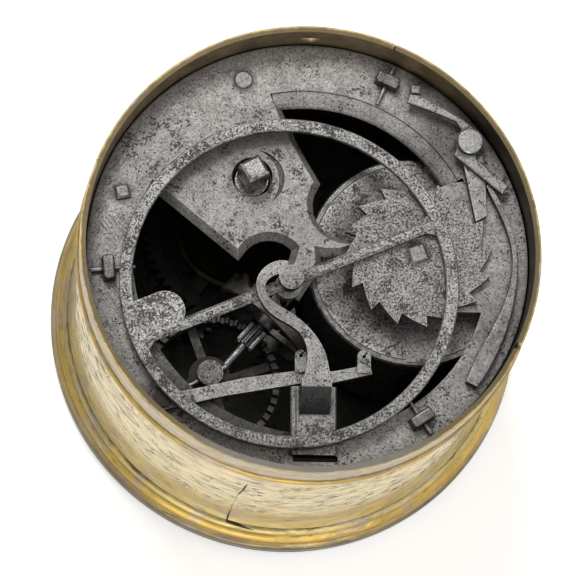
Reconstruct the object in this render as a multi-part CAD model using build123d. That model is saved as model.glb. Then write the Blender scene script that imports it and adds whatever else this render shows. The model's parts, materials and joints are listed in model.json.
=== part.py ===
from build123d import *
import math
import os

# Drum clock, in millimetres. The case axis is Z, the clock stands on its dial side at z = 0
# and the open back with the movement looks up. X is to the right in the back view.

# Fits
RUN = 0.05
GAP = 0.3

# Case
CASE_H = 62.0
CASE_R = 45.0
WALL = 1.2
FOOT_SPREAD = 5.0
RIM_DEPTH = 7.0
BEAD_DROP = 9.0
ENGRAVED_LOW = 13.0
LEDGE_LOW = 5.5
LEDGE_TOP = 10.0
LEDGE_WIDTH = 2.8

BASE_R = CASE_R + FOOT_SPREAD
BEAD_Z = CASE_H - BEAD_DROP
INNER_R = CASE_R - WALL
DIAL_BORE_R = CASE_R - 1.7

# Dial
TOUCH_RING = DIAL_BORE_R - 7.3
TOUCH_R = 0.8
CHAPTER_IN, CHAPTER_OUT = TOUCH_RING - 8.0, TOUCH_RING + 3.0

# Plates
PLATE_T = 1.8
FRONT_T = 2.0
DIAL_T = 1.5
RING_WIDE = 8.5
RING_IN_X = 0.5
RING_IN_Y = -1.0
BEVEL_SPREAD = 3.3

PLATE_R = INNER_R - GAP
PLATE_TOP = CASE_H - RIM_DEPTH
PLATE_LOW = PLATE_TOP - PLATE_T
RING_IN_R = PLATE_R - RING_WIDE
BEVEL_TOP_R = RING_IN_R - 1.0
BEVEL_LOW_R = BEVEL_TOP_R - BEVEL_SPREAD
FRONT_TOP = LEDGE_TOP + FRONT_T
DIAL_LOW = LEDGE_LOW - DIAL_T
DIAL_R = DIAL_BORE_R - 0.1



def from_rim(inset, degrees):
    """Point at a distance in from the edge of the back plate."""
    a = math.radians(degrees)
    return (PLATE_R - inset) * math.cos(a), (PLATE_R - inset) * math.sin(a)


# Axes
BALANCE_X, BALANCE_Y = -4.0, -6.5
FUSEE_X, FUSEE_Y = -11.2, 15.5
BARREL_R = 21.4
BARREL_X, BARREL_Y = INNER_R - BARREL_R - 1.0, 0.3
CLICK_X, CLICK_Y = BARREL_X + 10.5, BARREL_Y + 23.0
BRISTLE_INSET, BRISTLE_ANGLE = 2.19, 226.57
POTENCE_INSET, POTENCE_ANGLE = 4.6, 230.0
CROWN_ANGLE = 49.5
CROWN_DEPTH = 11.7
STUD_BACK = 23.2
CONTRATE_BACK = 21.0

BRISTLE_X, BRISTLE_Y = from_rim(BRISTLE_INSET, BRISTLE_ANGLE)
POTENCE_X, POTENCE_Y = from_rim(POTENCE_INSET, POTENCE_ANGLE)
CROWN_Z = PLATE_LOW - CROWN_DEPTH
CROWN_COS = math.cos(math.radians(CROWN_ANGLE))
CROWN_SIN = math.sin(math.radians(CROWN_ANGLE))
STUD_X = BALANCE_X - STUD_BACK * CROWN_COS
STUD_Y = BALANCE_Y - STUD_BACK * CROWN_SIN
CONTRATE_X = BALANCE_X - CONTRATE_BACK * CROWN_COS
CONTRATE_Y = BALANCE_Y - CONTRATE_BACK * CROWN_SIN

# Gears: teeth, module
PRESSURE = math.radians(28.0)
GREAT_TEETH, GREAT_MODULE = 56, 0.70
MIDDLE_TEETH, MIDDLE_MODULE = 48, 0.62
CONTRATE_TEETH, CONTRATE_MODULE = 45, 0.587
HOUR_TEETH = 45
LEAVES = 8
CROWN_LEAVES = 6
MOTION_LEAVES = 10
CROWN_TEETH = 15
CROWN_R = 11.0
HOUR_MODULE = 2 * math.hypot(FUSEE_X, FUSEE_Y) / (HOUR_TEETH + MOTION_LEAVES)
GREAT_LOW = FRONT_TOP + 3.4
MIDDLE_LOW = FRONT_TOP + 0.6
MIDDLE_TOP = MIDDLE_LOW + 1.4
CONTRATE_LINE = CROWN_Z - CROWN_LEAVES * CONTRATE_MODULE / 2
CONTRATE_WEB = CONTRATE_LINE - 4.74
STUD_LOW = CONTRATE_LINE - 2.04

# Balance
RIM_CLEAR = 3.0
RING_WIDTH = 2.5
RING_T = 1.3
SPOKE_ANGLE = 23.7
SPOKE_W = 2.2
PALLET = 1.75
PALLET_GAP = 0.10
PALLET_TALL = 2.5
VERGE_R = 0.55

RING_OUT_R = INNER_R - math.hypot(BALANCE_X, BALANCE_Y) - RIM_CLEAR
RING_LOW = PLATE_TOP + 2.3
RING_TOP = RING_LOW + RING_T

# Cock
COCK_T = 1.5
COCK_HEAD_R = 2.4
COCK_LOW = RING_TOP + 1.4
COCK_TOP = COCK_LOW + COCK_T
FOOT_TOP = PLATE_TOP + 1.5
FOOT_END = 3.1 - PLATE_R

# Ratchet and click
RATCHET_TEETH = 16
RATCHET_TIP_R = 14.9
RATCHET_ROOT_R = 12.6
RATCHET_PHASE = 28.9
RATCHET_T = 1.5
STUD_R = 1.3
RATCHET_LOW = PLATE_TOP + 0.1
RATCHET_TOP = RATCHET_LOW + RATCHET_T
CLICK_LOW = PLATE_TOP + 0.2
CLICK_TOP = CLICK_LOW + 1.55
LEVER_TOP = CLICK_TOP + 1.15

# Bristle arm
BRISTLE_LOW = PLATE_TOP + 0.1
BRISTLE_TOP = BRISTLE_LOW + 1.4

# Barrel and fusee
BARREL_WALL = 1.2
BARREL_SQUARE = 3.6
ARBOR_R = 2.2
FUSEE_BASE_R, FUSEE_TOP_R = 13.2, 6.0
FUSEE_TURNS = 10
FUSEE_ARBOR_R = 2.0
WIND_SQUARE = 4.3
WIND_R = 3.7
SINK_DEPTH = 2.6
BUSH_DEPTH = 4.6
BARREL_LOW, BARREL_TOP = FRONT_TOP + 7.0, PLATE_LOW - 2.6
SINK_R = WIND_R + RUN + GAP
SINK_LOW = PLATE_TOP - SINK_DEPTH
BUSH_LOW = PLATE_TOP - BUSH_DEPTH
FUSEE_LOW, FUSEE_TOP = GREAT_LOW + 2.2, BUSH_LOW - 0.8

# Pillars
PILLAR_ANGLES = (66.5, 186.2, 303.8)
TENON_W, TENON_D, TENON_H = 4.8, 2.4, 2.6
PIN_R = 0.4
CASE_PIN_R = 0.6
CASE_PIN_ANGLES = (20.0, 140.0, 260.0)
PILLAR_RING = PLATE_R - 4.1
CASE_PIN_RING = INNER_R - 1.5


def meeting_point(x0, y0, r0, x1, y1, r1):
    """Point at r0 from the first axis and r1 from the second, on the left side."""
    d = math.hypot(x1 - x0, y1 - y0)
    a = (r0 ** 2 - r1 ** 2 + d ** 2) / (2 * d)
    h = math.sqrt(r0 ** 2 - a ** 2)
    ux, uy = (x1 - x0) / d, (y1 - y0) / d
    return x0 + a * ux + h * uy, y0 + a * uy - h * ux


GREAT_REACH = GREAT_MODULE * (GREAT_TEETH + LEAVES) / 2
MIDDLE_REACH = MIDDLE_MODULE * (MIDDLE_TEETH + LEAVES) / 2
MIDDLE_X, MIDDLE_Y = meeting_point(
    FUSEE_X, FUSEE_Y, GREAT_REACH, CONTRATE_X, CONTRATE_Y, MIDDLE_REACH
)


def rod(x, y, r, low, high):
    """Upright cylinder."""
    return Pos(x, y, (low + high) / 2) * Cylinder(r, high - low)


def bar(x0, x1, y0, y1, low, high):
    """Upright box given by its limits."""
    middle = Pos((x0 + x1) / 2, (y0 + y1) / 2, (low + high) / 2)
    return middle * Box(x1 - x0, y1 - y0, high - low)


def cone(x, y, low_r, top_r, low, top):
    """Upright cut-off cone."""
    return Pos(x, y, (low + top) / 2) * Cone(low_r, top_r, top - low)


def slab(points, low, high):
    """Flat piece with a straight-sided outline."""
    return Pos(0, 0, low) * extrude(make_face(Polyline(*points, close=True)), high - low)


def turned(profile, angle=360.0):
    """Piece turned round Z from (radius, height) corners."""
    points = [(r, 0, z) for r, z in profile]
    return revolve(make_face(Polyline(*points, close=True)), Axis.Z, angle)


def along_crown(part):
    """Lay a piece built round Z from z = 0 along the crown wheel axis, starting at the stud."""
    turn = Rot(0, 0, CROWN_ANGLE) * Rot(0, 90, 0)
    return Pos(STUD_X, STUD_Y, CROWN_Z) * turn * part


def polar(x, y, r, degrees):
    """Point at a radius and an angle round an axis."""
    a = math.radians(degrees)
    return x + r * math.cos(a), y + r * math.sin(a)


def gear_outline(teeth, module, phase):
    """Corners of a wheel with involute teeth; one tooth points at the phase angle."""
    pitch_r = module * teeth / 2
    base_r = pitch_r * math.cos(PRESSURE)
    tip_r = pitch_r + 0.75 * module
    root_r = pitch_r - 1.15 * module
    half = math.pi / (2 * teeth) - 0.09 / pitch_r
    start = max(base_r, root_r)
    points = []
    for tooth in range(teeth):
        centre = phase + 2 * math.pi * tooth / teeth
        flank = []
        for step in range(3):
            r = start + (tip_r - start) * step / 2
            roll = math.acos(min(1.0, base_r / r))
            narrow = math.tan(roll) - roll
            flank.append((r, half + math.tan(PRESSURE) - PRESSURE - narrow))
        if root_r < base_r:
            flank.insert(0, (root_r, flank[0][1]))
        for r, a in flank:
            points.append((r * math.cos(centre - a), r * math.sin(centre - a)))
        for r, a in reversed(flank):
            points.append((r * math.cos(centre + a), r * math.sin(centre + a)))
    return points


def gear(teeth, module, phase, low, high):
    """Toothed disc round Z."""
    return slab(gear_outline(teeth, module, phase), low, high)


def crossed(wheel, rim_r, hub_r, arms, arm_w, low, high):
    """Cut the windows between the arms of a wheel."""
    window = rod(0, 0, rim_r, low - 1, high + 1) - rod(0, 0, hub_r, low - 2, high + 2)
    for arm in range(arms):
        beam = Pos(rim_r / 2, 0, (low + high) / 2) * Box(rim_r * 1.2, arm_w, high - low + 6)
        window -= Rot(0, 0, 360 / arms * arm + 20) * beam
    return wheel - window


def pillar_spot(angle):
    """Place on the pillar circle, with X pointing outwards."""
    return Rot(0, 0, angle) * Pos(PILLAR_RING, 0, 0)


def case_body():
    """Drum wall with its bead, cove and stepped foot, the ledge and the dial recess."""
    outer = [
        Line((INNER_R, CASE_H), (CASE_R, CASE_H)),
        Line((CASE_R, CASE_H), (CASE_R, BEAD_Z + 1.0)),
        ThreePointArc((CASE_R, BEAD_Z + 1.0), (CASE_R + 0.65, BEAD_Z), (CASE_R, BEAD_Z - 1.0)),
        Line((CASE_R, BEAD_Z - 1.0), (CASE_R - 0.15, BEAD_Z - 1.4)),
        Line((CASE_R - 0.15, BEAD_Z - 1.4), (CASE_R, BEAD_Z - 1.8)),
        Line((CASE_R, BEAD_Z - 1.8), (CASE_R, ENGRAVED_LOW)),
        ThreePointArc((CASE_R, ENGRAVED_LOW), (CASE_R + 0.35, 10.6), (CASE_R + 1.4, 8.7)),
        Line((CASE_R + 1.4, 8.7), (CASE_R + 1.25, 8.3)),
        Line((CASE_R + 1.25, 8.3), (CASE_R + 1.6, 8.1)),
        ThreePointArc((CASE_R + 1.6, 8.1), (CASE_R + 2.35, 7.7), (CASE_R + 2.6, 6.9)),
        ThreePointArc((CASE_R + 2.6, 6.9), (CASE_R + 3.6, 6.3), (CASE_R + 3.8, 5.0)),
        Line((CASE_R + 3.8, 5.0), (CASE_R + 3.6, 4.6)),
        Line((CASE_R + 3.6, 4.6), (CASE_R + 4.1, 4.4)),
        ThreePointArc((CASE_R + 4.1, 4.4), (CASE_R + 4.8, 4.0), (BASE_R, 3.2)),
        Line((BASE_R, 3.2), (BASE_R, 0.5)),
        Line((BASE_R, 0.5), (BASE_R - 0.5, 0)),
        Line((BASE_R - 0.5, 0), (DIAL_BORE_R, 0)),
        Line((DIAL_BORE_R, 0), (DIAL_BORE_R, LEDGE_LOW)),
        Line((DIAL_BORE_R, LEDGE_LOW), (INNER_R - LEDGE_WIDTH, LEDGE_LOW)),
        Line((INNER_R - LEDGE_WIDTH, LEDGE_LOW), (INNER_R - LEDGE_WIDTH, LEDGE_TOP)),
        Line((INNER_R - LEDGE_WIDTH, LEDGE_TOP), (INNER_R, LEDGE_TOP)),
        Line((INNER_R, LEDGE_TOP), (INNER_R, CASE_H)),
    ]
    profile = Plane.XZ * make_face(Wire(outer))
    body = revolve(profile, Axis.Z)
    moon_z = CASE_H - 3.6
    moon = Pos(0, CASE_R, moon_z) * Rot(90, 0, 0) * Cylinder(2.1, 6)
    body -= moon - bar(-4, 4, CASE_R - 6, CASE_R + 6, moon_z, CASE_H)
    notch_x, notch_y = polar(0, 0, CASE_R - WALL / 2, -25.7)
    body -= Pos(notch_x, notch_y, CASE_H) * Rot(0, 0, -25.7) * Rot(45, 0, 0) * Box(4, 1.1, 1.1)
    kink_x, kink_y = polar(0, 0, CASE_R - WALL / 2, 68.6)
    body -= Pos(kink_x, kink_y, CASE_H) * Rot(0, 0, 68.6) * Rot(30, 0, 0) * Box(4, 1.6, 0.5)
    for angle in CASE_PIN_ANGLES:
        x, y = polar(0, 0, CASE_PIN_RING, angle)
        body -= rod(x, y, CASE_PIN_R, LEDGE_LOW - 1, LEDGE_TOP + 1)
    return body


def case_pins():
    """Three pins that hold dial, ledge and front plate together."""
    pins = Part()
    for angle in CASE_PIN_ANGLES:
        x, y = polar(0, 0, CASE_PIN_RING, angle)
        pins += rod(x, y, CASE_PIN_R, DIAL_LOW - 0.6, FRONT_TOP + 0.3)
        pins += rod(x, y, 1.5 * CASE_PIN_R, DIAL_LOW - 0.6, DIAL_LOW)
    return pins


def dial_plate():
    """Dial disc in the recess of the foot."""
    dial = rod(0, 0, DIAL_R, DIAL_LOW, LEDGE_LOW)
    dial -= rod(0, 0, 1.8 + RUN, 0, 10)
    dial += turned([(10, DIAL_LOW - 0.3), (12, DIAL_LOW - 0.3), (12.3, DIAL_LOW), (9.7, DIAL_LOW)])
    for angle in CASE_PIN_ANGLES:
        x, y = polar(0, 0, CASE_PIN_RING, angle)
        dial -= rod(x, y, CASE_PIN_R, 0, 10)
    for hour in range(12):
        x, y = polar(0, 0, TOUCH_RING, 30 * hour + 90)
        dial -= rod(x, y, TOUCH_R, 0, LEDGE_LOW + 1)
    return dial


def chapter_ring():
    """Flat ring with twelve hour strokes, under the dial disc."""
    low = DIAL_LOW - 0.8
    inner, outer = CHAPTER_IN, CHAPTER_OUT
    ring = turned([(inner, low), (outer, low), (outer, DIAL_LOW), (inner, DIAL_LOW)])
    stroke = bar(CHAPTER_IN + 1.5, TOUCH_RING - 2.5, -0.4, 0.4, low - 1, low + 0.25)
    for hour in range(12):
        x, y = polar(0, 0, TOUCH_RING, 30 * hour + 90)
        ring -= rod(x, y, TOUCH_R, 0, LEDGE_LOW)
        ring -= Rot(0, 0, 30 * hour + 90) * stroke
    return ring


def touch_pins():
    """Twelve rounded pins for reading the hour by touch, the one at twelve taller."""
    pins = Part()
    for hour in range(12):
        x, y = polar(0, 0, TOUCH_RING, 30 * hour + 90)
        top = DIAL_LOW - 0.8
        height = 1.5 if hour == 0 else 0.9
        pins += rod(x, y, TOUCH_R, top, LEDGE_LOW)
        pins += cone(x, y, 0.6, 1.2, top - height, top)
    return pins


def front_plate():
    """Disc that carries the lower pivots and the pillars."""
    plate = rod(0, 0, PLATE_R, LEDGE_TOP, FRONT_TOP)
    bores = [
        (FUSEE_X, FUSEE_Y, 1.6 + RUN),
        (BARREL_X, BARREL_Y, 1.6 + RUN),
        (MIDDLE_X, MIDDLE_Y, 0.8 + RUN),
        (CONTRATE_X, CONTRATE_Y, 0.6 + RUN),
        (0, 0, 1.2 + RUN),
    ]
    for x, y, r in bores:
        plate -= rod(x, y, r, LEDGE_TOP - 1, FRONT_TOP + 1)
    for angle in PILLAR_ANGLES:
        plate -= pillar_spot(angle) * rod(0, 0, 1.2, LEDGE_TOP - 1, FRONT_TOP + 1)
    for angle in CASE_PIN_ANGLES:
        x, y = polar(0, 0, CASE_PIN_RING, angle)
        plate -= rod(x, y, CASE_PIN_R, LEDGE_TOP - 1, FRONT_TOP + 1)
    cock_x, cock_y = middle_cock_foot()
    plate -= rod(cock_x, cock_y, 0.8, LEDGE_TOP - 1, FRONT_TOP + 1)
    return plate


def pillars():
    """Three baluster pillars with a riveted foot and a flat tenon above the back plate."""
    all_pillars = Part()
    knob = (FRONT_TOP + PLATE_LOW) / 2 - 0.6
    neck = PLATE_LOW - 3.0
    for angle in PILLAR_ANGLES:
        shape = turned([
            (0, LEDGE_TOP), (1.2, LEDGE_TOP), (1.2, FRONT_TOP), (2.2, FRONT_TOP), (2.2, 14.5),
            (1.5, 16.5), (1.5, knob - 2.5), (2.1, knob - 1.0), (2.1, knob + 1.0),
            (1.5, knob + 2.5), (1.5, neck - 1.7), (1.6, neck), (0, neck),
        ])
        shape += bar(-1.7, 1.7, -3.1, 3.1, neck, PLATE_LOW)
        tenon = tenon_bar(PLATE_LOW, PLATE_TOP + TENON_H)
        tenon = fillet(tenon.edges().filter_by(Axis.Z), 0.6)
        tenon = fillet(tenon.edges().group_by(Axis.Z)[-1], 0.5)
        tenon -= pin_solid()
        all_pillars += pillar_spot(angle) * (shape + tenon)
    return all_pillars


def tenon_bar(low, high):
    """Flat bar of a tenon, also the shape of its hole."""
    return bar(-TENON_D / 2, TENON_D / 2, -TENON_W / 2, TENON_W / 2, low, high)


def pin_solid():
    """Tapered cross pin lying on the plate, pointing along X."""
    pin = Cone(PIN_R + 0.12, PIN_R - 0.08, 8.6)
    return Pos(-0.9, 0, PLATE_TOP + PIN_R + 0.16) * Rot(0, -90, 0) * pin


def pillar_pins():
    """Three tapered pins through the pillar tenons."""
    pins = Part()
    for angle in PILLAR_ANGLES:
        pins += pillar_spot(angle) * pin_solid()
    return pins


def arc_points(start, middle, end, count):
    """Points along an arc, without its end point."""
    arc = ThreePointArc(start, middle, end)
    return [((arc @ (i / count)).X, (arc @ (i / count)).Y) for i in range(count)]


def spread_outline(points, distance):
    """Corners of a clockwise outline moved outwards by a distance, edges kept parallel."""
    moved = []
    for i, (x, y) in enumerate(points):
        x0, y0 = points[i - 1]
        x1, y1 = points[(i + 1) % len(points)]
        before = math.hypot(x - x0, y - y0)
        after = math.hypot(x1 - x, y1 - y)
        n0x, n0y = -(y - y0) / before, (x - x0) / before
        n1x, n1y = -(y1 - y) / after, (x1 - x) / after
        scale = distance / (1 + n0x * n1x + n0y * n1y)
        moved.append((x + (n0x + n1x) * scale, y + (n0y + n1y) * scale))
    return moved


def fan_arm():
    """Wide arm with bevelled edges that carries the winding hole and ends over the verge."""
    top = [(-8.9, 39.0), (-8.0, 33.4)]
    top += arc_points((-7.6, 32.2), (-4.4, 24.8), (0.9, 15.0), 4)
    top += arc_points((0.9, 15.0), (0.3, 6.9), (8.7, 2.3), 8)
    top += arc_points((8.7, 2.3), (5.0, 1.4), (1.0, 1.8), 3)
    top += [(1.0, 1.8), (1.3, -1.6), (-2.2, -7.2), (-4.9, -5.5), (-2.5, -1.5)]
    top += arc_points((-1.7, 1.5), (-7.0, 4.4), (-14.0, 0.75), 8)
    top += [(-14.0, 0.75), (-36.0, 18.7), (-26.0, 30.0)]
    low = spread_outline(top, 1.4)
    faces = [
        Pos(0, 0, PLATE_LOW) * make_face(Polyline(*low, close=True)),
        Pos(0, 0, PLATE_TOP) * make_face(Polyline(*top, close=True)),
    ]
    return loft(faces, ruled=True)


def back_plate():
    """Iron back plate: ring, fan arm, tongue under the ratchet and the bevelled opening."""
    ring = rod(0, 0, PLATE_R, PLATE_LOW, PLATE_TOP)
    ring -= rod(RING_IN_X, RING_IN_Y, RING_IN_R, PLATE_LOW - 1, PLATE_TOP + 1)
    bevel = turned([
        (BEVEL_LOW_R, PLATE_LOW), (RING_IN_R + 2, PLATE_LOW), (RING_IN_R + 2, PLATE_TOP),
        (BEVEL_TOP_R, PLATE_TOP), (BEVEL_TOP_R - 0.25, PLATE_TOP - 0.35),
        (BEVEL_TOP_R - 1.3, PLATE_TOP - 0.45), (BEVEL_TOP_R - 2.3, PLATE_TOP - 0.75),
        (BEVEL_TOP_R - 3.0, PLATE_TOP - 1.2), (BEVEL_LOW_R, PLATE_LOW + 0.2),
    ], 74.0)
    ring += Rot(0, 0, 28.5) * bevel
    tongue = slab([
        (RING_IN_R + 1.5, 16.5), (BARREL_X + 7.2, 15.6), (BARREL_X - 2.4, 11.3),
        (BARREL_X - 9.4, 6.0), (BARREL_X - 9.4, -6.0), (BARREL_X - 0.4, -10.9),
        (RING_IN_R + 2.0, -10.9),
    ], PLATE_LOW, PLATE_TOP)
    tongue += rod(BARREL_X, BARREL_Y, 11.5, PLATE_LOW, PLATE_TOP)
    plate = ring + fan_arm() + tongue
    plate += rod(BALANCE_X, BALANCE_Y, 2.6, PLATE_LOW, PLATE_TOP)
    plate += rod(FUSEE_X, FUSEE_Y, SINK_R + 1.0, BUSH_LOW, PLATE_TOP)
    plate = plate & rod(0, 0, PLATE_R, BUSH_LOW - 1, PLATE_TOP)
    plate -= rod(BALANCE_X, BALANCE_Y, 1.2, PLATE_LOW - 1, PLATE_TOP + 1)
    plate -= rod(FUSEE_X, FUSEE_Y, SINK_R, SINK_LOW, PLATE_TOP + 1)
    plate -= rod(FUSEE_X, FUSEE_Y, WIND_R + RUN, BUSH_LOW - 1, PLATE_TOP)
    plate -= rod(BARREL_X, BARREL_Y, 2.7 + RUN, PLATE_LOW - 1, PLATE_TOP + 1)
    for angle in PILLAR_ANGLES:
        plate -= pillar_spot(angle) * tenon_bar(PLATE_LOW - 1, PLATE_TOP + 1)
    plate -= bar(-3.1, 5.6, FOOT_END - 1.1, FOOT_END, PLATE_LOW - 1, PLATE_TOP + 1)
    moon = [
        ThreePointArc((-9.7, 21.0), (-4.9, 16.4), (-7.3, 10.6)),
        ThreePointArc((-7.3, 10.6), (-6.0, 16.0), (-9.7, 21.0)),
    ]
    plate -= Pos(0, 0, PLATE_TOP - 0.35) * extrude(make_face(Wire(moon)), 1.0)
    for x, y, r in rivet_spots():
        plate -= rod(x, y, r, PLATE_LOW - 1, PLATE_TOP + 1)
    plate -= square_rivet(PLATE_LOW - 1, PLATE_TOP + 1)
    plate -= rod(CLICK_X, CLICK_Y, 1.0, PLATE_LOW - 1, PLATE_TOP + 1)
    plate -= rod(BRISTLE_X, BRISTLE_Y, 0.9, PLATE_LOW - 1, PLATE_TOP + 1)
    plate -= stub_bar(0.6, PLATE_LOW - 1, PLATE_TOP + 1)
    plate -= spring_rivet(PLATE_LOW - 1, PLATE_TOP + 1)
    for x, y in cock_rivet_spots():
        plate -= rod(x, y, 0.8, PLATE_LOW - 1, PLATE_TOP + 1)
    return plate


def rivet_spots():
    """Round rivets of the back plate: place and radius."""
    return [
        (*from_rim(5.47, 110.15), 1.3), (*from_rim(6.34, -16.1), 1.3),
        (POTENCE_X, POTENCE_Y, 0.9), (-0.3, -1.6, 0.7),
    ]


def square_rivet(low, high):
    """Shank of the square-headed rivet, also the shape of its hole."""
    x, y = from_rim(4.92, 162.5)
    return bar(x - 1.0, x + 1.0, y - 1.0, y + 1.0, low, high)


def plate_rivets():
    """Rivets of the back plate, one of them with a square head."""
    rivets = Part()
    for x, y, r in rivet_spots():
        rivets += rod(x, y, r, PLATE_LOW, PLATE_TOP + 0.02)
    x, y, r = rivet_spots()[0]
    rivets += cone(x, y, r + 0.6, r + 0.3, PLATE_TOP, PLATE_TOP + 0.35)
    rivets += square_rivet(PLATE_LOW, PLATE_TOP)
    head = Rot(0, 0, 12) * chamfer(Box(2.8, 2.8, 0.8).edges().group_by(Axis.Z)[-1], 0.4)
    x, y = from_rim(4.92, 162.5)
    rivets += Pos(x, y, PLATE_TOP + 0.4) * head
    return rivets


def cock_rivet_spots():
    """Two rivets that hold the foot bar of the balance cock."""
    return [(-1.2, FOOT_END + 2.1), (3.4, FOOT_END + 2.1)]


def cock_base():
    """Foot bar of the balance cock, lying on the plate and reaching over the opening."""
    base = bar(-3.6, 5.2, FOOT_END, -27.0, PLATE_TOP, FOOT_TOP)
    base = chamfer(base.edges().filter_by(Axis.Y).group_by(Axis.Z)[-1], 0.35)
    base -= bar(-2.75, -2.45, FOOT_END + 0.2, -27.6, FOOT_TOP - 0.3, FOOT_TOP + 1)
    base -= bar(-0.6, 2.4, -31.6, -28.8, PLATE_TOP - 1, FOOT_TOP + 1)
    for x, y in cock_rivet_spots():
        base -= rod(x, y, 0.8, PLATE_TOP - 1, FOOT_TOP + 1)
    return base


def cock_rivets():
    """Two flush rivets through foot bar and plate."""
    rivets = Part()
    for x, y in cock_rivet_spots():
        rivets += rod(x, y, 0.8, PLATE_LOW, FOOT_TOP)
    return rivets


def balance_cock():
    """S-shaped arm over the balance, with its head, sloping post and tenon."""
    outer = Spline((-4.6, -3.4), (-8.2, -4.0), (-10.7, -7.2), (-10.2, -10.9), (-7.3, -14.4),
                   (-2.4, -17.6), (-1.0, -20.6), (-1.2, -24.9), (-2.0, -28.2))
    inner = Spline((3.8, -28.2), (3.3, -24.8), (2.7, -21.9), (0.4, -17.7), (-2.5, -14.8),
                   (-5.2, -13.0), (-8.5, -10.5), (-9.0, -8.0), (-7.4, -6.3), (-5.0, -6.0))
    face = make_face(Wire([outer, Line(outer @ 1, inner @ 0), inner, Line(inner @ 1, outer @ 0)]))
    cock = Pos(0, 0, COCK_LOW) * extrude(face, COCK_TOP - COCK_LOW)
    cock += rod(BALANCE_X, BALANCE_Y, COCK_HEAD_R, COCK_LOW, COCK_TOP)
    side = Polyline((0, -28.2, COCK_TOP), (0, -32.4, FOOT_TOP + 0.3), (0, -32.4, FOOT_TOP),
                    (0, -27.7, FOOT_TOP), (0, -26.6, COCK_LOW), (0, -26.6, COCK_TOP), close=True)
    cock += Pos(-2.0, 0, 0) * extrude(make_face(side), 5.8, dir=(1, 0, 0))
    cock += bar(-0.6, 2.4, -31.6, -28.8, PLATE_TOP + 0.3, FOOT_TOP + 0.2)
    cock -= rod(BALANCE_X, BALANCE_Y, 0.4 + RUN, COCK_LOW - 1, COCK_LOW + 1.0)
    return cock


def balance_wheel():
    """Balance ring with one straight spoke and a round-ended tab."""
    ring = rod(0, 0, RING_OUT_R, RING_LOW, RING_TOP)
    ring -= rod(0, 0, RING_OUT_R - RING_WIDTH, RING_LOW - 1, RING_TOP + 1)
    ring = chamfer(ring.edges().filter_by(GeomType.CIRCLE).group_by(Axis.Z)[-1], 0.25)
    reach = RING_OUT_R - RING_WIDTH + 0.6
    half = SPOKE_W / 2
    ridge = Polyline((0, -half, RING_LOW), (0, half, RING_LOW), (0, half, RING_TOP - 0.6),
                     (0, 0.5, RING_TOP - 0.1), (0, -0.5, RING_TOP - 0.1),
                     (0, -half, RING_TOP - 0.6), close=True)
    spoke = extrude(make_face(ridge), 2 * reach, dir=(1, 0, 0))
    wheel = ring + Pos(-reach, 0, 0) * spoke
    wheel += rod(0, 0, 2.0, RING_LOW, RING_TOP)
    inside = RING_OUT_R - RING_WIDTH
    for side in (1, -1):
        foot = [(side * (inside + 0.2), 2.4), (side * (inside - 2.1), 0.8),
                (side * (inside - 2.1), -0.8), (side * (inside + 0.2), -2.4)]
        wheel += slab(foot, RING_LOW, RING_TOP - 0.6)
    wheel += balance_tab(inside)
    wheel = Pos(BALANCE_X, BALANCE_Y, 0) * Rot(0, 0, SPOKE_ANGLE) * wheel
    wheel -= rod(BALANCE_X, BALANCE_Y, 0.9, RING_LOW - 1, RING_TOP + 1)
    return wheel


def balance_tab(inside):
    """Round-ended tab in the corner between ring and spoke, on the tapped side."""
    round_x, round_y, round_r = 5.9 - inside, 3.7, 3.9
    tab = bar(-inside - 0.6, round_x, 0, round_y + round_r, RING_LOW, RING_TOP - 0.2)
    tab += rod(round_x, round_y, round_r, RING_LOW, RING_TOP - 0.2)
    return tab & bar(-inside - 0.6, 0, 0, 20, RING_LOW, RING_TOP)


def verge_staff():
    """Upright staff of the balance with two pallets about a hundred degrees apart."""
    lower = CROWN_Z - CROWN_R + 0.2
    staff = rod(0, 0, 0.35, lower - 3.0, lower - 0.9)
    staff += rod(0, 0, VERGE_R, lower - 0.9, RING_LOW - 1.2)
    staff += rod(0, 0, 1.5, RING_LOW - 1.2, RING_LOW)
    staff += rod(0, 0, 0.9, RING_LOW, RING_TOP + 0.4)
    staff += rod(0, 0, 0.4, RING_TOP + 0.4, COCK_LOW + 0.8)
    upper = CROWN_Z + CROWN_R - 0.2 - PALLET_TALL
    for low, angle in ((upper, 180 + 50), (lower, 180 - 50)):
        flag = bar(0, PALLET, -0.25, 0.25, low, low + PALLET_TALL)
        staff += Rot(0, 0, CROWN_ANGLE + angle) * flag
    return Pos(BALANCE_X, BALANCE_Y, 0) * staff


def crown_wheel():
    """Crown wheel: rim with fifteen saw teeth, web with three arms."""
    tips = STUD_BACK - PALLET - PALLET_GAP
    root = tips - 2.4
    web = 16.6
    wheel = turned([(CROWN_R - 1.1, web), (CROWN_R, web), (CROWN_R, tips), (CROWN_R - 1.1, tips)])
    disc = rod(0, 0, CROWN_R - 0.5, web, web + 1.1)
    wheel += crossed(disc, CROWN_R - 1.1, 2.6, 3, 1.8, web, web + 1.1)
    wheel += rod(0, 0, 2.0, web, web + 2.2)
    pitch = 360 / CROWN_TEETH
    step = 2 * math.pi * CROWN_R / CROWN_TEETH
    for tooth in range(CROWN_TEETH):
        gap = Polyline((0, 0.25, tips + 1), (0, 0.25, tips), (0, step - 1.0, root),
                       (0, step - 0.15, root), (0, step - 0.15, tips + 1), close=True)
        cut = Pos(CROWN_R - 3, 0, 0) * extrude(make_face(gap), 5, dir=(1, 0, 0))
        wheel -= Rot(0, 0, pitch * (tooth + 0.25)) * cut
    wheel -= rod(0, 0, 1.0, 0, 30)
    return along_crown(wheel)


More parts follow.
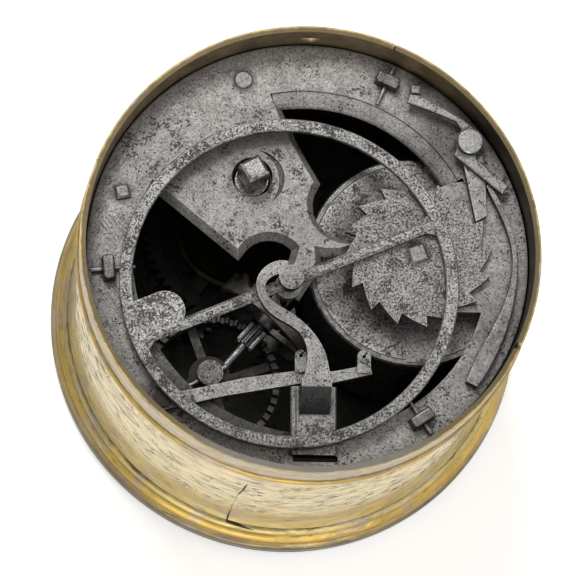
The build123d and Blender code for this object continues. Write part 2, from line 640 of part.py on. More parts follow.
def crown_arbor():
    """Horizontal arbor of the crown wheel with its six-leaved pinion."""
    arbor = rod(0, 0, 0.45, 0.8, 3.0)
    arbor += rod(0, 0, 0.8, 2.9, 11.5)
    arbor += rod(0, 0, 1.0, 11.5, 19.2)
    arbor += rod(0, 0, 0.45, 19.2, 21.1)
    arbor += gear(CROWN_LEAVES, CONTRATE_MODULE, 0.0, 11.5, 16.0)
    return along_crown(arbor)


def contrate_wheel():
    """Contrate wheel: upright rim teeth, web with four arms and a hub."""
    line, web = CONTRATE_LINE, CONTRATE_WEB
    top = line + 0.7 * CONTRATE_MODULE
    root = line - 1.2 * CONTRATE_MODULE
    rim_r = CONTRATE_TEETH * CONTRATE_MODULE / 2 + 0.2
    wheel = turned([(rim_r - 1.2, web), (rim_r, web), (rim_r, top), (rim_r - 1.2, top)])
    disc = rod(0, 0, rim_r - 0.6, web, web + 1.2)
    wheel += crossed(disc, rim_r - 1.2, 2.8, 4, 1.8, web, web + 1.2)
    wheel += rod(0, 0, 2.0, web - 1.4, web + 1.6)
    pitch = 2 * math.pi * rim_r / CONTRATE_TEETH
    slope = math.tan(PRESSURE)
    upper = pitch / 2 + 0.12 + (top + 0.2 - line) * slope
    lower = pitch / 2 + 0.12 - (line - root) * slope
    for tooth in range(CONTRATE_TEETH):
        gap = Polyline((0, -upper / 2, top + 0.2), (0, upper / 2, top + 0.2),
                       (0, lower / 2, root), (0, -lower / 2, root), close=True)
        cut = Pos(rim_r - 2.5, 0, 0) * extrude(make_face(gap), 4, dir=(1, 0, 0))
        wheel -= Rot(0, 0, CROWN_ANGLE + 360 / CONTRATE_TEETH * tooth) * cut
    wheel -= rod(0, 0, 1.1, web - 2, web + 3)
    return Pos(CONTRATE_X, CONTRATE_Y, 0) * wheel


def contrate_arbor():
    """Arbor of the contrate wheel with its eight-leaved pinion."""
    shoulder = FRONT_TOP + GAP
    arbor = rod(0, 0, 0.6, LEDGE_TOP + 0.1, shoulder)
    arbor += rod(0, 0, 1.1, shoulder - 0.1, STUD_LOW - 0.5)
    arbor += rod(0, 0, 0.5, STUD_LOW - 0.5, STUD_LOW + 1.5)
    arbor += gear(LEAVES, MIDDLE_MODULE, pinion_phase(), shoulder, MIDDLE_TOP + 0.6)
    return Pos(CONTRATE_X, CONTRATE_Y, 0) * arbor


def heading(x0, y0, x1, y1):
    """Direction from one axis to another, in radians."""
    return math.atan2(y1 - y0, x1 - x0)


def pinion_phase():
    """The contrate pinion shows a leaf towards the intermediate wheel."""
    return heading(CONTRATE_X, CONTRATE_Y, MIDDLE_X, MIDDLE_Y)


def intermediate_wheel():
    """Intermediate wheel with a tooth gap towards the contrate pinion."""
    phase = heading(MIDDLE_X, MIDDLE_Y, CONTRATE_X, CONTRATE_Y) + math.pi / MIDDLE_TEETH
    wheel = gear(MIDDLE_TEETH, MIDDLE_MODULE, phase, MIDDLE_LOW, MIDDLE_TOP)
    rim_r = MIDDLE_MODULE * MIDDLE_TEETH / 2 - 2.5
    wheel = crossed(wheel, rim_r, 3.4, 4, 2.2, MIDDLE_LOW, MIDDLE_TOP)
    wheel -= rod(0, 0, 1.3, MIDDLE_LOW - 1, MIDDLE_TOP + 1)
    return Pos(MIDDLE_X, MIDDLE_Y, 0) * wheel


def intermediate_arbor():
    """Intermediate arbor with the pinion that the great wheel drives."""
    phase = heading(MIDDLE_X, MIDDLE_Y, FUSEE_X, FUSEE_Y)
    bridge = FRONT_TOP + 9.9
    arbor = rod(0, 0, 0.8, LEDGE_TOP + 0.1, FRONT_TOP + 0.4)
    arbor += rod(0, 0, 1.3, FRONT_TOP + GAP, bridge - GAP)
    arbor += rod(0, 0, 0.6, bridge - GAP, bridge + 1.7)
    arbor += gear(LEAVES, GREAT_MODULE, phase, GREAT_LOW - 0.6, FUSEE_LOW + 0.6)
    return Pos(MIDDLE_X, MIDDLE_Y, 0) * arbor


def middle_cock_foot():
    """Place of the foot of the intermediate cock on the front plate."""
    return polar(0, 0, PLATE_R - 4.0, 195.6)


def intermediate_cock():
    """Cock on the front plate that holds the upper intermediate pivot."""
    x, y = middle_cock_foot()
    angle = math.degrees(heading(x, y, MIDDLE_X, MIDDLE_Y))
    reach = math.hypot(MIDDLE_X - x, MIDDLE_Y - y)
    bridge = FRONT_TOP + 9.9
    cock = bar(-1.6, 1.4, -2.0, 2.0, FRONT_TOP, bridge)
    cock += bar(-1.6, reach, -1.6, 1.6, bridge, bridge + 2.0)
    cock += rod(reach, 0, 2.2, bridge, bridge + 2.0)
    cock -= rod(reach, 0, 0.6 + RUN, bridge - 1, bridge + 3)
    cock += rod(0, 0, 0.8, LEDGE_TOP, FRONT_TOP)
    return Pos(x, y, 0) * Rot(0, 0, angle) * cock


def great_wheel():
    """Great wheel with four arms, fixed under the fusee."""
    phase = heading(FUSEE_X, FUSEE_Y, MIDDLE_X, MIDDLE_Y) + math.pi / GREAT_TEETH
    wheel = gear(GREAT_TEETH, GREAT_MODULE, phase, GREAT_LOW, FUSEE_LOW)
    rim_r = GREAT_MODULE * GREAT_TEETH / 2 - 3.0
    wheel = crossed(wheel, rim_r, 7.0, 5, 2.8, GREAT_LOW, FUSEE_LOW)
    wheel -= rod(0, 0, FUSEE_ARBOR_R, GREAT_LOW - 1, FUSEE_LOW + 1)
    return Pos(FUSEE_X, FUSEE_Y, 0) * wheel


def fusee_cone():
    """Fusee with its line grooves, the small end towards the back."""
    edge = FUSEE_LOW + 1.4
    profile = [(FUSEE_ARBOR_R, FUSEE_LOW), (FUSEE_BASE_R, FUSEE_LOW), (FUSEE_BASE_R, edge)]
    step = (FUSEE_TOP - FUSEE_LOW - 3.0) / FUSEE_TURNS
    for turn in range(FUSEE_TURNS):
        z = edge + step * turn
        share = (turn + 0.5) / FUSEE_TURNS
        r = FUSEE_BASE_R + (FUSEE_TOP_R - FUSEE_BASE_R) * share ** 0.8
        profile.append((r - 0.2, z + 0.15 * step))
        profile.append((r - 0.9, z + 0.5 * step))
        profile.append((r - 0.3, z + 0.85 * step))
    cap_r = FUSEE_TOP_R + 0.9
    profile += [(cap_r, FUSEE_TOP - 1.3), (cap_r, FUSEE_TOP), (FUSEE_ARBOR_R, FUSEE_TOP)]
    return Pos(FUSEE_X, FUSEE_Y, 0) * turned(profile)


def fusee_arbor():
    """Fusee arbor, from the motion pinion seat to the winding square."""
    arbor = rod(0, 0, 1.2, LEDGE_TOP - 3.9, LEDGE_TOP)
    arbor += rod(0, 0, 1.6, LEDGE_TOP - 1.1, FRONT_TOP + GAP)
    arbor += rod(0, 0, FUSEE_ARBOR_R, FRONT_TOP + GAP, BUSH_LOW + 0.2)
    journal = rod(0, 0, WIND_R, BUSH_LOW, SINK_LOW + 0.5)
    arbor += chamfer(journal.edges().group_by(Axis.Z)[-1], 0.4)
    top = CASE_H - 0.9
    half = WIND_SQUARE / 2
    square = bar(-half, half, -half, half, SINK_LOW, top)
    square = chamfer(square.edges().group_by(Axis.Z)[-1], 0.6)
    arbor += Rot(0, 0, 30) * square
    return Pos(FUSEE_X, FUSEE_Y, 0) * arbor


def motion_pinion():
    """Ten-leaved pinion under the front plate that drives the hour wheel."""
    phase = heading(FUSEE_X, FUSEE_Y, 0, 0)
    pinion = gear(MOTION_LEAVES, HOUR_MODULE, phase, LEDGE_TOP - 3.8, LEDGE_TOP - 1.3)
    pinion -= rod(0, 0, 1.2, 0, LEDGE_TOP)
    return Pos(FUSEE_X, FUSEE_Y, 0) * pinion


def hour_wheel():
    """Hour wheel behind the dial, with a tooth gap towards the motion pinion."""
    phase = heading(0, 0, FUSEE_X, FUSEE_Y) + math.pi / HOUR_TEETH
    low, high = LEDGE_TOP - 3.4, LEDGE_TOP - 2.0
    wheel = gear(HOUR_TEETH, HOUR_MODULE, phase, low, high)
    wheel = crossed(wheel, HOUR_MODULE * HOUR_TEETH / 2 - 2.6, 3.6, 4, 2.2, low, high)
    return wheel - rod(0, 0, 2.2, 0, LEDGE_TOP)


def hour_arbor():
    """Hour arbor from the front plate through the dial to the hand."""
    arbor = rod(0, 0, 1.2, LEDGE_TOP - 0.5, FRONT_TOP - 0.1)
    arbor += rod(0, 0, 2.2, LEDGE_LOW + 0.5, LEDGE_TOP - GAP)
    arbor += rod(0, 0, 1.8, DIAL_LOW - 1.4, LEDGE_LOW + 0.6)
    arbor += rod(0, 0, 1.2, DIAL_LOW - 2.9, DIAL_LOW - 1.3)
    return arbor


def hour_hand():
    """Single hour hand with a leaf-shaped point and a short tail."""
    low = DIAL_LOW - 2.4
    hand = slab([(-1.0, -9.0), (1.0, -9.0), (1.4, 0), (0.8, 16.0), (2.6, 20.0), (0, 27.5),
                 (-2.6, 20.0), (-0.8, 16.0), (-1.4, 0)], low, low + 1.0)
    hand += rod(0, 0, 3.2, low, low + 1.0)
    hand -= rod(0, 0, 1.2, low - 1, low + 2)
    return hand


def crown_potence():
    """Arm under the back plate that carries the stud of the crown wheel."""
    angle = math.degrees(heading(POTENCE_X, POTENCE_Y, STUD_X, STUD_Y))
    reach = math.hypot(STUD_X - POTENCE_X, STUD_Y - POTENCE_Y)
    low, high = PLATE_LOW - 4.6, PLATE_LOW - 2.2
    arm = bar(-2.4, reach, -2.4, 2.4, low, high)
    arm += rod(reach, 0, 4.0, low, high)
    arm += bar(-2.4, 2.4, -2.4, 2.4, high, PLATE_LOW)
    arm -= rod(reach, 0, 2.5, low - 1, high + 1)
    return Pos(POTENCE_X, POTENCE_Y, 0) * Rot(0, 0, angle) * arm


def crown_stud():
    """Stud with the outer crown pivot and the upper contrate pivot."""
    foot = STUD_BACK - CONTRATE_BACK
    stud = rod(0, 0, 2.5, STUD_LOW, PLATE_LOW + 1.0)
    stud += bar(0, foot + 1.6, -1.6, 1.6, STUD_LOW, STUD_LOW + 2.2)
    stud -= rod(foot, 0, 0.5 + RUN, STUD_LOW - 1, STUD_LOW + 1.8)
    stud -= Pos(1.75, 0, CROWN_Z) * Rot(0, 90, 0) * Cylinder(0.45 + RUN, 2.3)
    stud = Rot(0, 0, CROWN_ANGLE) * stud
    stud = Pos(STUD_X, STUD_Y, 0) * stud
    return stud - cross_pin()


def cross_pin():
    """Tapered pin through the top of the crown stud."""
    pin = Pos(-0.4, 0, 0) * Rot(0, 90, 0) * Cone(0.42, 0.55, 8.2)
    return Pos(STUD_X, STUD_Y, PLATE_LOW - 1.5) * Rot(0, 0, 28.8) * pin


def verge_potence():
    """Bracket below the stem with the inner crown pivot and the foot pivot of the verge."""
    start = STUD_BACK + 3.0
    low = CROWN_Z - CROWN_R - 3.2
    bracket = bar(start, start + 1.8, -1.0, 1.0, low, PLATE_LOW)
    bracket += bar(STUD_BACK - 3.6, start + 0.5, -1.3, 1.3, CROWN_Z - 1.3, CROWN_Z + 1.3)
    bracket += bar(STUD_BACK - 1.6, start + 0.5, -1.3, 1.3, low, low + 2.0)
    bracket -= rod(STUD_BACK, 0, VERGE_R + GAP, low + 2.7, PLATE_LOW - 3)
    bracket -= rod(STUD_BACK, 0, 0.35 + RUN, low + 0.3, low + 2.7)
    bracket -= Pos(STUD_BACK - 2.8, 0, CROWN_Z) * Rot(0, 90, 0) * Cylinder(0.45 + RUN, 1.8)
    return Pos(STUD_X, STUD_Y, 0) * Rot(0, 0, CROWN_ANGLE) * bracket


def bristle_pivot():
    """Shouldered pivot of the bristle arm."""
    head = BRISTLE_TOP + 0.15
    pivot = rod(BRISTLE_X, BRISTLE_Y, 0.9, PLATE_LOW, head + 0.1)
    return pivot + rod(BRISTLE_X, BRISTLE_Y, 1.7, head, head + 0.4)


def bristle_lobe(x, y, width):
    """Rounded lobe with the hole for a bristle and the slit that leads into it."""
    high = BRISTLE_TOP + 0.4
    lobe = bar(x - width / 2, x + width / 2, y - 3.2, y, BRISTLE_LOW, high)
    lobe += rod(x, y, width / 2, BRISTLE_LOW, high)
    corners = lobe.edges().filter_by(Axis.Z).sort_by(Axis.Y)[:2].sort_by(Axis.X)
    lobe = fillet(corners[-1], 0.7)
    lobe -= rod(x, y, 0.35, BRISTLE_LOW - 1, high + 1)
    return lobe - Pos(x, y, 0) * Rot(0, 0, 55) * bar(0, 2, -0.16, 0.16, high - 0.6, high + 1)


def bristle_arm():
    """Swinging arm with two upright lobes pierced for the bristles."""
    arm = slab([
        (-1.9, -1.4), (0.8, 2.0), (4.0, 1.5), (15.9, 4.4), (26.0, 6.1),
        (33.0, 6.1), (40.2, 7.7), (40.6, 5.8), (33.0, 3.9), (26.6, 3.6),
        (12.1, 0.8), (1.2, -2.0),
    ], BRISTLE_LOW, BRISTLE_TOP)
    arm += rod(0, 0, 2.3, BRISTLE_LOW, BRISTLE_TOP)
    arm += bristle_lobe(26.7, 9.0, 2.3)
    arm += bristle_lobe(39.0, 9.1, 2.6)
    arm -= rod(0, 0, 0.9 + RUN, BRISTLE_LOW - 1, BRISTLE_TOP + 1)
    return Pos(BRISTLE_X, BRISTLE_Y, 0) * arm


def barrel_drum():
    """Spring barrel with its bottom and two cover pegs."""
    inner = BARREL_R - BARREL_WALL
    drum = turned([
        (ARBOR_R + RUN, BARREL_LOW), (BARREL_R - 0.3, BARREL_LOW), (BARREL_R, BARREL_LOW + 0.3),
        (BARREL_R, BARREL_TOP - 0.4), (BARREL_R - 0.4, BARREL_TOP), (inner, BARREL_TOP),
        (inner, BARREL_LOW + 1.2), (ARBOR_R + RUN, BARREL_LOW + 1.2),
    ])
    drum += cover_pegs(BARREL_TOP - 1.2, BARREL_TOP + 0.15)
    return Pos(BARREL_X, BARREL_Y, 0) * drum


def cover_pegs(low, high):
    """Two flat pegs in the barrel's edge, also the shape of the notches for them."""
    near, far = BARREL_R - 3.0, BARREL_R - BARREL_WALL + 0.4
    return bar(-1.7, 2.1, -far, -near, low, high) + bar(0.5, 2.1, near, far, low, high)


def barrel_cover():
    """Cover snapped into the barrel, notched for the two pegs."""
    outer = BARREL_R - BARREL_WALL
    cover = turned([
        (ARBOR_R + RUN, BARREL_TOP - 1.2), (outer, BARREL_TOP - 1.2), (outer, BARREL_TOP - 0.2),
        (outer - 0.2, BARREL_TOP), (5.2, BARREL_TOP), (4.6, BARREL_TOP + 0.5),
        (ARBOR_R + RUN, BARREL_TOP + 0.5),
    ])
    cover -= cover_pegs(BARREL_TOP - 2, BARREL_TOP + 1)
    return Pos(BARREL_X, BARREL_Y, 0) * cover


def mainspring():
    """Coiled strip that fills the outer half of the barrel."""
    turns, steps, strip = 6, 20, 0.5
    start = BARREL_R - BARREL_WALL - 0.1
    line = []
    for i in range(turns * steps + 1):
        r = start - 8.5 * i / (turns * steps)
        line.append(polar(0, 0, r, 360 * i / steps))
    back = []
    for i in range(turns * steps, -1, -1):
        r = start - strip - 8.5 * i / (turns * steps)
        back.append(polar(0, 0, r, 360 * i / steps))
    coil = slab(line + back, BARREL_LOW + 1.6, BARREL_TOP - 1.6)
    return Pos(BARREL_X, BARREL_Y, 0) * coil


def barrel_arbor():
    """Barrel arbor with its core, journals and square end."""
    shoulder = BARREL_TOP + 0.9
    arbor = rod(0, 0, 1.6, LEDGE_TOP + 0.1, FRONT_TOP + 0.4)
    arbor += rod(0, 0, ARBOR_R, FRONT_TOP + 0.4, shoulder)
    arbor += rod(0, 0, 4.0, BARREL_LOW + 1.7, BARREL_TOP - 1.7)
    arbor += rod(0, 0, 2.7, shoulder, PLATE_TOP + 0.05)
    half = BARREL_SQUARE / 2
    square = bar(-half, half, -half, half, PLATE_TOP, RING_LOW - 0.35)
    square = chamfer(square.edges().group_by(Axis.Z)[-1], 0.45)
    arbor += Rot(0, 0, 20) * square
    return Pos(BARREL_X, BARREL_Y, 0) * arbor


def ratchet_wheel():
    """Ratchet wheel with sixteen teeth, seated on the square of the barrel arbor."""
    points = []
    for tooth in range(RATCHET_TEETH):
        tip = RATCHET_PHASE + 360 / RATCHET_TEETH * tooth
        points.append(polar(0, 0, RATCHET_TIP_R, tip))
        points.append(polar(0, 0, RATCHET_ROOT_R, tip + 0.8))
        points.append(polar(0, 0, RATCHET_ROOT_R + 0.95, tip + 11.5))
    wheel = slab(points, RATCHET_LOW, RATCHET_TOP)
    half = BARREL_SQUARE / 2
    hole = bar(-half, half, -half, half, RATCHET_LOW - 1, RATCHET_TOP + 1)
    wheel -= Rot(0, 0, 20) * hole
    return Pos(BARREL_X, BARREL_Y, 0) * wheel


def click():
    """Tapered click that falls between the ratchet teeth."""
    hook_in = polar(BARREL_X, BARREL_Y, 13.5, 30.8)
    hook_out = polar(BARREL_X, BARREL_Y, 16.0, 30.6)
    outline = [
        (CLICK_X - 2.4, CLICK_Y - 0.7), (CLICK_X - 1.2, CLICK_Y - 4.1), hook_in, hook_out,
        (CLICK_X + 3.1, CLICK_Y - 7.6), (CLICK_X + 2.5, CLICK_Y - 0.7),
    ]
    body = slab(outline, CLICK_LOW, CLICK_TOP)
    body += rod(CLICK_X, CLICK_Y, 2.5, CLICK_LOW, CLICK_TOP)
    return body - rod(CLICK_X, CLICK_Y, STUD_R + RUN, CLICK_LOW - 1, CLICK_TOP + 1)


def click_lever():
    """Two-armed lever riding on the click."""
    lever = slab([
        (-12.5, 8.0), (-12.0, 9.7), (-10.2, 9.6), (-5.2, 7.0), (-1.2, 4.7),
        (1.0, 2.9), (1.3, -3.5), (7.7, -8.9), (6.4, -10.5), (2.3, -7.2),
        (-3.2, -2.7), (-2.5, 0.2), (-1.7, 2.7), (-2.7, 4.3), (-6.2, 5.8),
        (-9.2, 6.9),
    ], CLICK_TOP, LEVER_TOP)
    lever = chamfer(lever.edges().group_by(Axis.Z)[-1], 0.3)
    lever += rod(0, 0, 2.9, CLICK_TOP, LEVER_TOP - 0.1)
    lever -= rod(0, 0, STUD_R + RUN, CLICK_TOP - 1, LEVER_TOP + 1)
    return Pos(CLICK_X, CLICK_Y, 0) * lever


def click_stud():
    """Round-headed stud of click and lever, riveted in the plate."""
    stud = rod(CLICK_X, CLICK_Y, 1.0, PLATE_LOW, PLATE_TOP)
    stud += rod(CLICK_X, CLICK_Y, STUD_R, PLATE_TOP, LEVER_TOP + 0.1)
    head = rod(CLICK_X, CLICK_Y, 2.6, LEVER_TOP + 0.05, LEVER_TOP + 0.85)
    head = chamfer(head.edges().group_by(Axis.Z)[-1], 0.25)
    notch = Pos(CLICK_X - 0.1, CLICK_Y + 2.6, LEVER_TOP + 1.0) * Box(0.7, 0.9, 1.0)
    return stud + head - notch


def stub_bar(half, low, high):
    """Square bar at the place of the stop stub."""
    x, y = CLICK_X - 10.7, CLICK_Y + 10.8
    return bar(x - half, x + half, y - half, y + half, low, high)


def spring_rivet(low, high):
    """Rivet of the click spring, also the shape of its hole."""
    return rod(BARREL_X + 10.6, BARREL_Y - 25.3, 0.7, low, high)


def stop_stub():
    """Square stub that stops the lever."""
    stub = stub_bar(0.9, PLATE_TOP, LEVER_TOP - 0.3)
    stub = chamfer(stub.edges().group_by(Axis.Z)[-1], 0.2)
    return stub + stub_bar(0.6, PLATE_LOW, PLATE_TOP)


def click_spring():
    """Long curved blade spring, tapering from its riveted foot to the click."""
    outer = Spline((11.3, -26.6), (16.1, -18.0), (19.0, -8.5), (19.7, -2.1),
                   (19.4, 2.7), (17.6, 8.7), (14.2, 15.2))
    inner = Spline((13.9, 14.1), (16.9, 7.7), (18.6, 2.1), (18.8, -2.1),
                   (17.9, -7.1), (14.6, -14.7), (9.2, -25.5))
    face = make_face(Wire([outer, Line(outer @ 1, inner @ 0), inner, Line(inner @ 1, outer @ 0)]))
    spring = Pos(0, 0, CLICK_LOW) * extrude(face, CLICK_TOP - CLICK_LOW)
    foot = [(9.2, -25.5), (11.3, -26.6), (13.6, -22.4), (11.4, -21.3)]
    spring += slab(foot, PLATE_TOP, CLICK_LOW + 0.2)
    spring = Pos(BARREL_X, BARREL_Y, 0) * spring
    return spring + spring_rivet(PLATE_LOW, PLATE_TOP + 0.3)


PARTS = {
    "case_body": case_body,
    "case_pins": case_pins,
    "dial_plate": dial_plate,
    "chapter_ring": chapter_ring,
    "touch_pins": touch_pins,
    "front_plate": front_plate,
    "pillars": pillars,
    "pillar_pins": pillar_pins,
    "back_plate": back_plate,
    "plate_rivets": plate_rivets,
    "cock_base": cock_base,
    "cock_rivets": cock_rivets,
    "balance_cock": balance_cock,
    "click_stud": click_stud,
    "stop_stub": stop_stub,
    "click_spring": click_spring,
    "crown_potence": crown_potence,
    "crown_stud": crown_stud,
    "cross_pin": cross_pin,
    "verge_potence": verge_potence,
    "intermediate_cock": intermediate_cock,
    "bristle_pivot": bristle_pivot,
    "balance_wheel": balance_wheel,
    "verge_staff": verge_staff,
    "crown_wheel": crown_wheel,
    "crown_arbor": crown_arbor,
    "contrate_wheel": contrate_wheel,
    "contrate_arbor": contrate_arbor,
    "intermediate_wheel": intermediate_wheel,
    "intermediate_arbor": intermediate_arbor,
    "fusee_cone": fusee_cone,
    "great_wheel": great_wheel,
    "fusee_arbor": fusee_arbor,
    "motion_pinion": motion_pinion,
    "hour_wheel": hour_wheel,
    "hour_arbor": hour_arbor,
    "hour_hand": hour_hand,
    "barrel_drum": barrel_drum,
    "barrel_cover": barrel_cover,
    "mainspring": mainspring,
    "barrel_arbor": barrel_arbor,
    "ratchet_wheel": ratchet_wheel,
    "click": click,
    "click_lever": click_lever,
    "bristle_arm": bristle_arm,
}

os.makedirs("parts", exist_ok=True)
for name, make in PARTS.items():
    export_step(make(), f"parts/{name}.step")
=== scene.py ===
import bmesh
import bpy
import json
import math
import random
from mathutils import Matrix, Vector


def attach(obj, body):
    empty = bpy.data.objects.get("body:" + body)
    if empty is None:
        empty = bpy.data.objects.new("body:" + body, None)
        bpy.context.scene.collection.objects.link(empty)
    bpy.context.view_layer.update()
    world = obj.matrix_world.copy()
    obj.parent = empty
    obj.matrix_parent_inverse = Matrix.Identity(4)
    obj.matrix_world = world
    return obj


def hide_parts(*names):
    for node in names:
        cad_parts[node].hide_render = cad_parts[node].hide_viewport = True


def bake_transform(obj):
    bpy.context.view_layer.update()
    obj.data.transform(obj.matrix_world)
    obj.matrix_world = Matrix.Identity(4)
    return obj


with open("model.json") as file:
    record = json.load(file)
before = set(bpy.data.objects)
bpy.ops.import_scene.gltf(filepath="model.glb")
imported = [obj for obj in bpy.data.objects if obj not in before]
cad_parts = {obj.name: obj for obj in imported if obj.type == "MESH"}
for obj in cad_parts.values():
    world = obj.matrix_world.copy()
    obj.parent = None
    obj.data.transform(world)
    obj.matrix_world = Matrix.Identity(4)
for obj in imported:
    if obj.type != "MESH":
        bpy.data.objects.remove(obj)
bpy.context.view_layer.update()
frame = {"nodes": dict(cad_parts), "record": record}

MM = 0.001

# Camera: focal length and picture in pixels, film and place in millimetres
FOCAL_PIXELS = 2600
IMAGE_SIDE = 576
SENSOR = 36.0
CAMERA_PLACE = (-50.5, -140.36, 542.96)
CAMERA_RIGHT = (0.9954, 0.0026, 0.0954)
CAMERA_UP = (-0.0276, 0.9649, 0.2611)
CAMERA_BACK = (-0.0914, -0.2625, 0.9606)

# Stage: each lamp's place and side in metres, and its watts
LAMPS = {
    "overhead": ((-0.25, 0.70, 1.10), 0.42, 8.0),
    "right": ((0.85, 0.05, 0.75), 0.40, 1.5),
    "front": ((-0.15, -1.05, 0.30), 0.60, 6.5),
}
LAMPS_AIM = (0, 0, 0.03)
FLOOR_R = 2.5
FLOOR_GLOW = 0.50
ROOM_LIGHT = 0.22

# Levels and radii of the case and the movement, in millimetres
CASE_R = 45.0
CASE_H = 62.0
INNER_R = 43.8
PLATE_TOP = 55.0
COVER_TOP = 50.6
WALL_LOW = 13.0
WALL_TOP = 51.0
BAND_LOW = 54.2
FILLET_R = 46.33
ROUND = 2 * math.pi * CASE_R

# Centres of pieces on the back plate
BALANCE = (-4.0, -6.5)
BARREL = (21.4, 0.3)
FUSEE = (-11.2, 15.5)
GROOVE = (-8.0, 16.0)
CLICK = (31.7, 23.0)
TAB = (-29.2, -12.0)
COCK_NECK = (-6.0, -12.0)
BRISTLE_END = (-29.0, -31.5)

# Engraved lines: counts and length of the short strokes, levels, depth below the wall and widths
GROUND_COUNT = 520
BAND_COUNT = 150
LONGEST_STROKE = 9.0
BORDER_LEVELS = (WALL_LOW + 0.3, WALL_TOP, WALL_TOP + 0.5, BAND_LOW, BAND_LOW + 0.9, CASE_H - 0.9)
FILLET_LEVELS = (8.35, 8.55)
CUT_DEPTH = 0.045
ORNAMENT_LINE = 0.17
GROUND_LINE = 0.13
BORDER_LINE = 0.17
CRACK_LINE = 0.40
SCRATCH_LINE = 0.14
PLUG_LINE = 0.22

# Crack down the wall and gash above the foot: arc, height, radius, share of the width
CRACK = (
    (-10.9, 42.0, 45.0, 0.4), (-11.1, 39.0, 45.0, 1.0), (-11.3, 35.0, 45.0, 0.9),
    (-11.7, 31.5, 45.0, 0.8), (-11.9, 29.5, 45.0, 0.2), (-11.8, 24.0, 45.0, 0.16),
    (-12.1, 19.0, 45.0, 0.2), (-12.0, 14.0, 45.0, 0.2), (-12.1, 11.0, 45.3, 0.4),
    (-12.1, 8.7, 46.35, 1.0),
)
GASH = (
    (-12.3, 8.6, 46.35, 0.8), (-11.9, 8.3, 46.55, 1.9), (-10.4, 8.15, 46.7, 1.8),
    (-8.6, 8.0, 46.9, 1.2), (-6.4, 7.85, 47.2, 0.3),
)

# File marks on the plate: middle, heading in degrees, count, length
FILE_MARKS = (
    (-41.0, 5.5, -52, 9, 2.6), (-38.8, 17.0, 60, 5, 3.0), (-39.3, -8.0, -48, 8, 3.2),
    (-37.5, -12.5, 35, 6, 2.6), (33.0, -6.0, 30, 4, 2.4), (31.0, -14.0, -70, 4, 2.0),
)
LONG_SCRATCHES = (((29.3, -10.2), (34.0, -9.3)), ((31.0, -7.5), (35.5, -4.0)), ((-32.4, 11.2), (-30.9, 13.9)))
PLUG_CORNERS = ((19.9, -18.7), (23.4, -18.5), (23.2, -20.2), (20.1, -20.4))

# Darker or paler places round a point: place, two radii in millimetres, shade at each of them
PLATE_SPOTS = (
    # Painted shadow of the case's wall on the plate near the rim, with dirt there
    (0.9, 0.4, 41.0, 44.3, 1.0, 0.42),
    (36.0, -12.0, 1.0, 10.0, 0.72, 1.0),
    (-28.5, -30.5, 2.5, 5.5, 0.35, 1.0),
    # Painted shade and dirt in the hollow round the click's stud
    (29.5, 24.5, 4.5, 10.5, 0.40, 1.0),
    (-12.9, 35.5, 1.7, 3.0, 0.30, 1.0),
    (-36.8, 11.5, 1.2, 3.0, 0.30, 1.0),
    (23.7, 36.9, 1.5, 4.0, 0.45, 1.0),
    (*FUSEE, 3.9, 5.4, 0.70, 1.0),
)
TAB_SPOTS = ((*TAB, 3.5, 5.5, 1.18, 1.0),)
# Painted shadow round the arbor's square on the ratchet
RATCHET_SHADOW_SPOTS = ((*BARREL, 2.1, 3.1, 0.30, 1.0),)
# On the barrel's cover: painted shadow of the ratchet with dirt from 14.5 to 20.5 mm, and a painted highlight
# on its rim from 19.2 to 20.8 mm
COVER_SHADOW_AND_SHEEN_SPOTS = ((*BARREL, 14.5, 20.5, 0.45, 1.0), (*BARREL, 19.2, 20.8, 1.0, 1.5))
# Painted shade on the rounded neck of the cock
NECK_SHADE_SPOTS = ((*COCK_NECK, 1.5, 7.0, 0.62, 1.0),)
CLICK_SPOTS = ((*CLICK, 2.7, 3.7, 0.30, 1.0),)
BRISTLE_SPOTS = ((*BRISTLE_END, 3.0, 7.5, 0.30, 1.0),)

# Colours, and the gilding's bands from the foot up: height in millimetres and colour
DIRT = (0.022, 0.017, 0.014)
RUST = (0.085, 0.052, 0.038)
# Colour of rubbed edges, which also stands for a painted highlight on them
RUBBED_AND_HIGHLIGHT = (0.88, 0.87, 0.85)
ENGRAVING = (0.11, 0.08, 0.038)
BLACK_GAP = (0.03, 0.022, 0.014)
SCRATCHED = (0.10, 0.09, 0.085)
GILT_BANDS = (
    (0.0, (0.30, 0.235, 0.125)), (3.2, (0.32, 0.25, 0.135)), (3.5, (0.10, 0.075, 0.035)),
    (4.1, (0.50, 0.40, 0.22)), (4.6, (0.50, 0.33, 0.08)), (6.7, (0.58, 0.385, 0.085)),
    (7.0, (0.52, 0.40, 0.14)), (8.0, (0.56, 0.44, 0.17)), (8.25, (0.08, 0.055, 0.025)),
    # Painted shade: the cove from 8.7 to 13 mm is darker
    (8.7, (0.46, 0.35, 0.13)), (13.0, (0.56, 0.44, 0.22)), (20.0, (0.72, 0.62, 0.39)),
    (34.0, (0.74, 0.64, 0.42)), (51.0, (0.70, 0.59, 0.35)), (51.4, (0.14, 0.10, 0.045)),
    (51.9, (0.32, 0.21, 0.05)), (52.6, (0.50, 0.34, 0.10)), (53.9, (0.40, 0.27, 0.07)),
    (54.15, (0.12, 0.09, 0.05)), (54.6, (0.48, 0.40, 0.29)), (61.0, (0.48, 0.41, 0.28)),
    (61.4, (0.48, 0.35, 0.14)), (62.0, (0.44, 0.34, 0.155)),
)


def place_camera():
    """Camera at the photograph's viewing angle."""
    lens = bpy.data.cameras.new("view")
    lens.sensor_width = SENSOR
    lens.lens = FOCAL_PIXELS / IMAGE_SIDE * SENSOR
    lens.clip_end = 10.0
    camera = bpy.data.objects.new("view", lens)
    bpy.context.collection.objects.link(camera)
    turn = Matrix((CAMERA_RIGHT, CAMERA_UP, CAMERA_BACK)).transposed().to_4x4()
    camera.matrix_world = Matrix.Translation([v * MM for v in CAMERA_PLACE]) @ turn
    bpy.context.scene.camera = camera


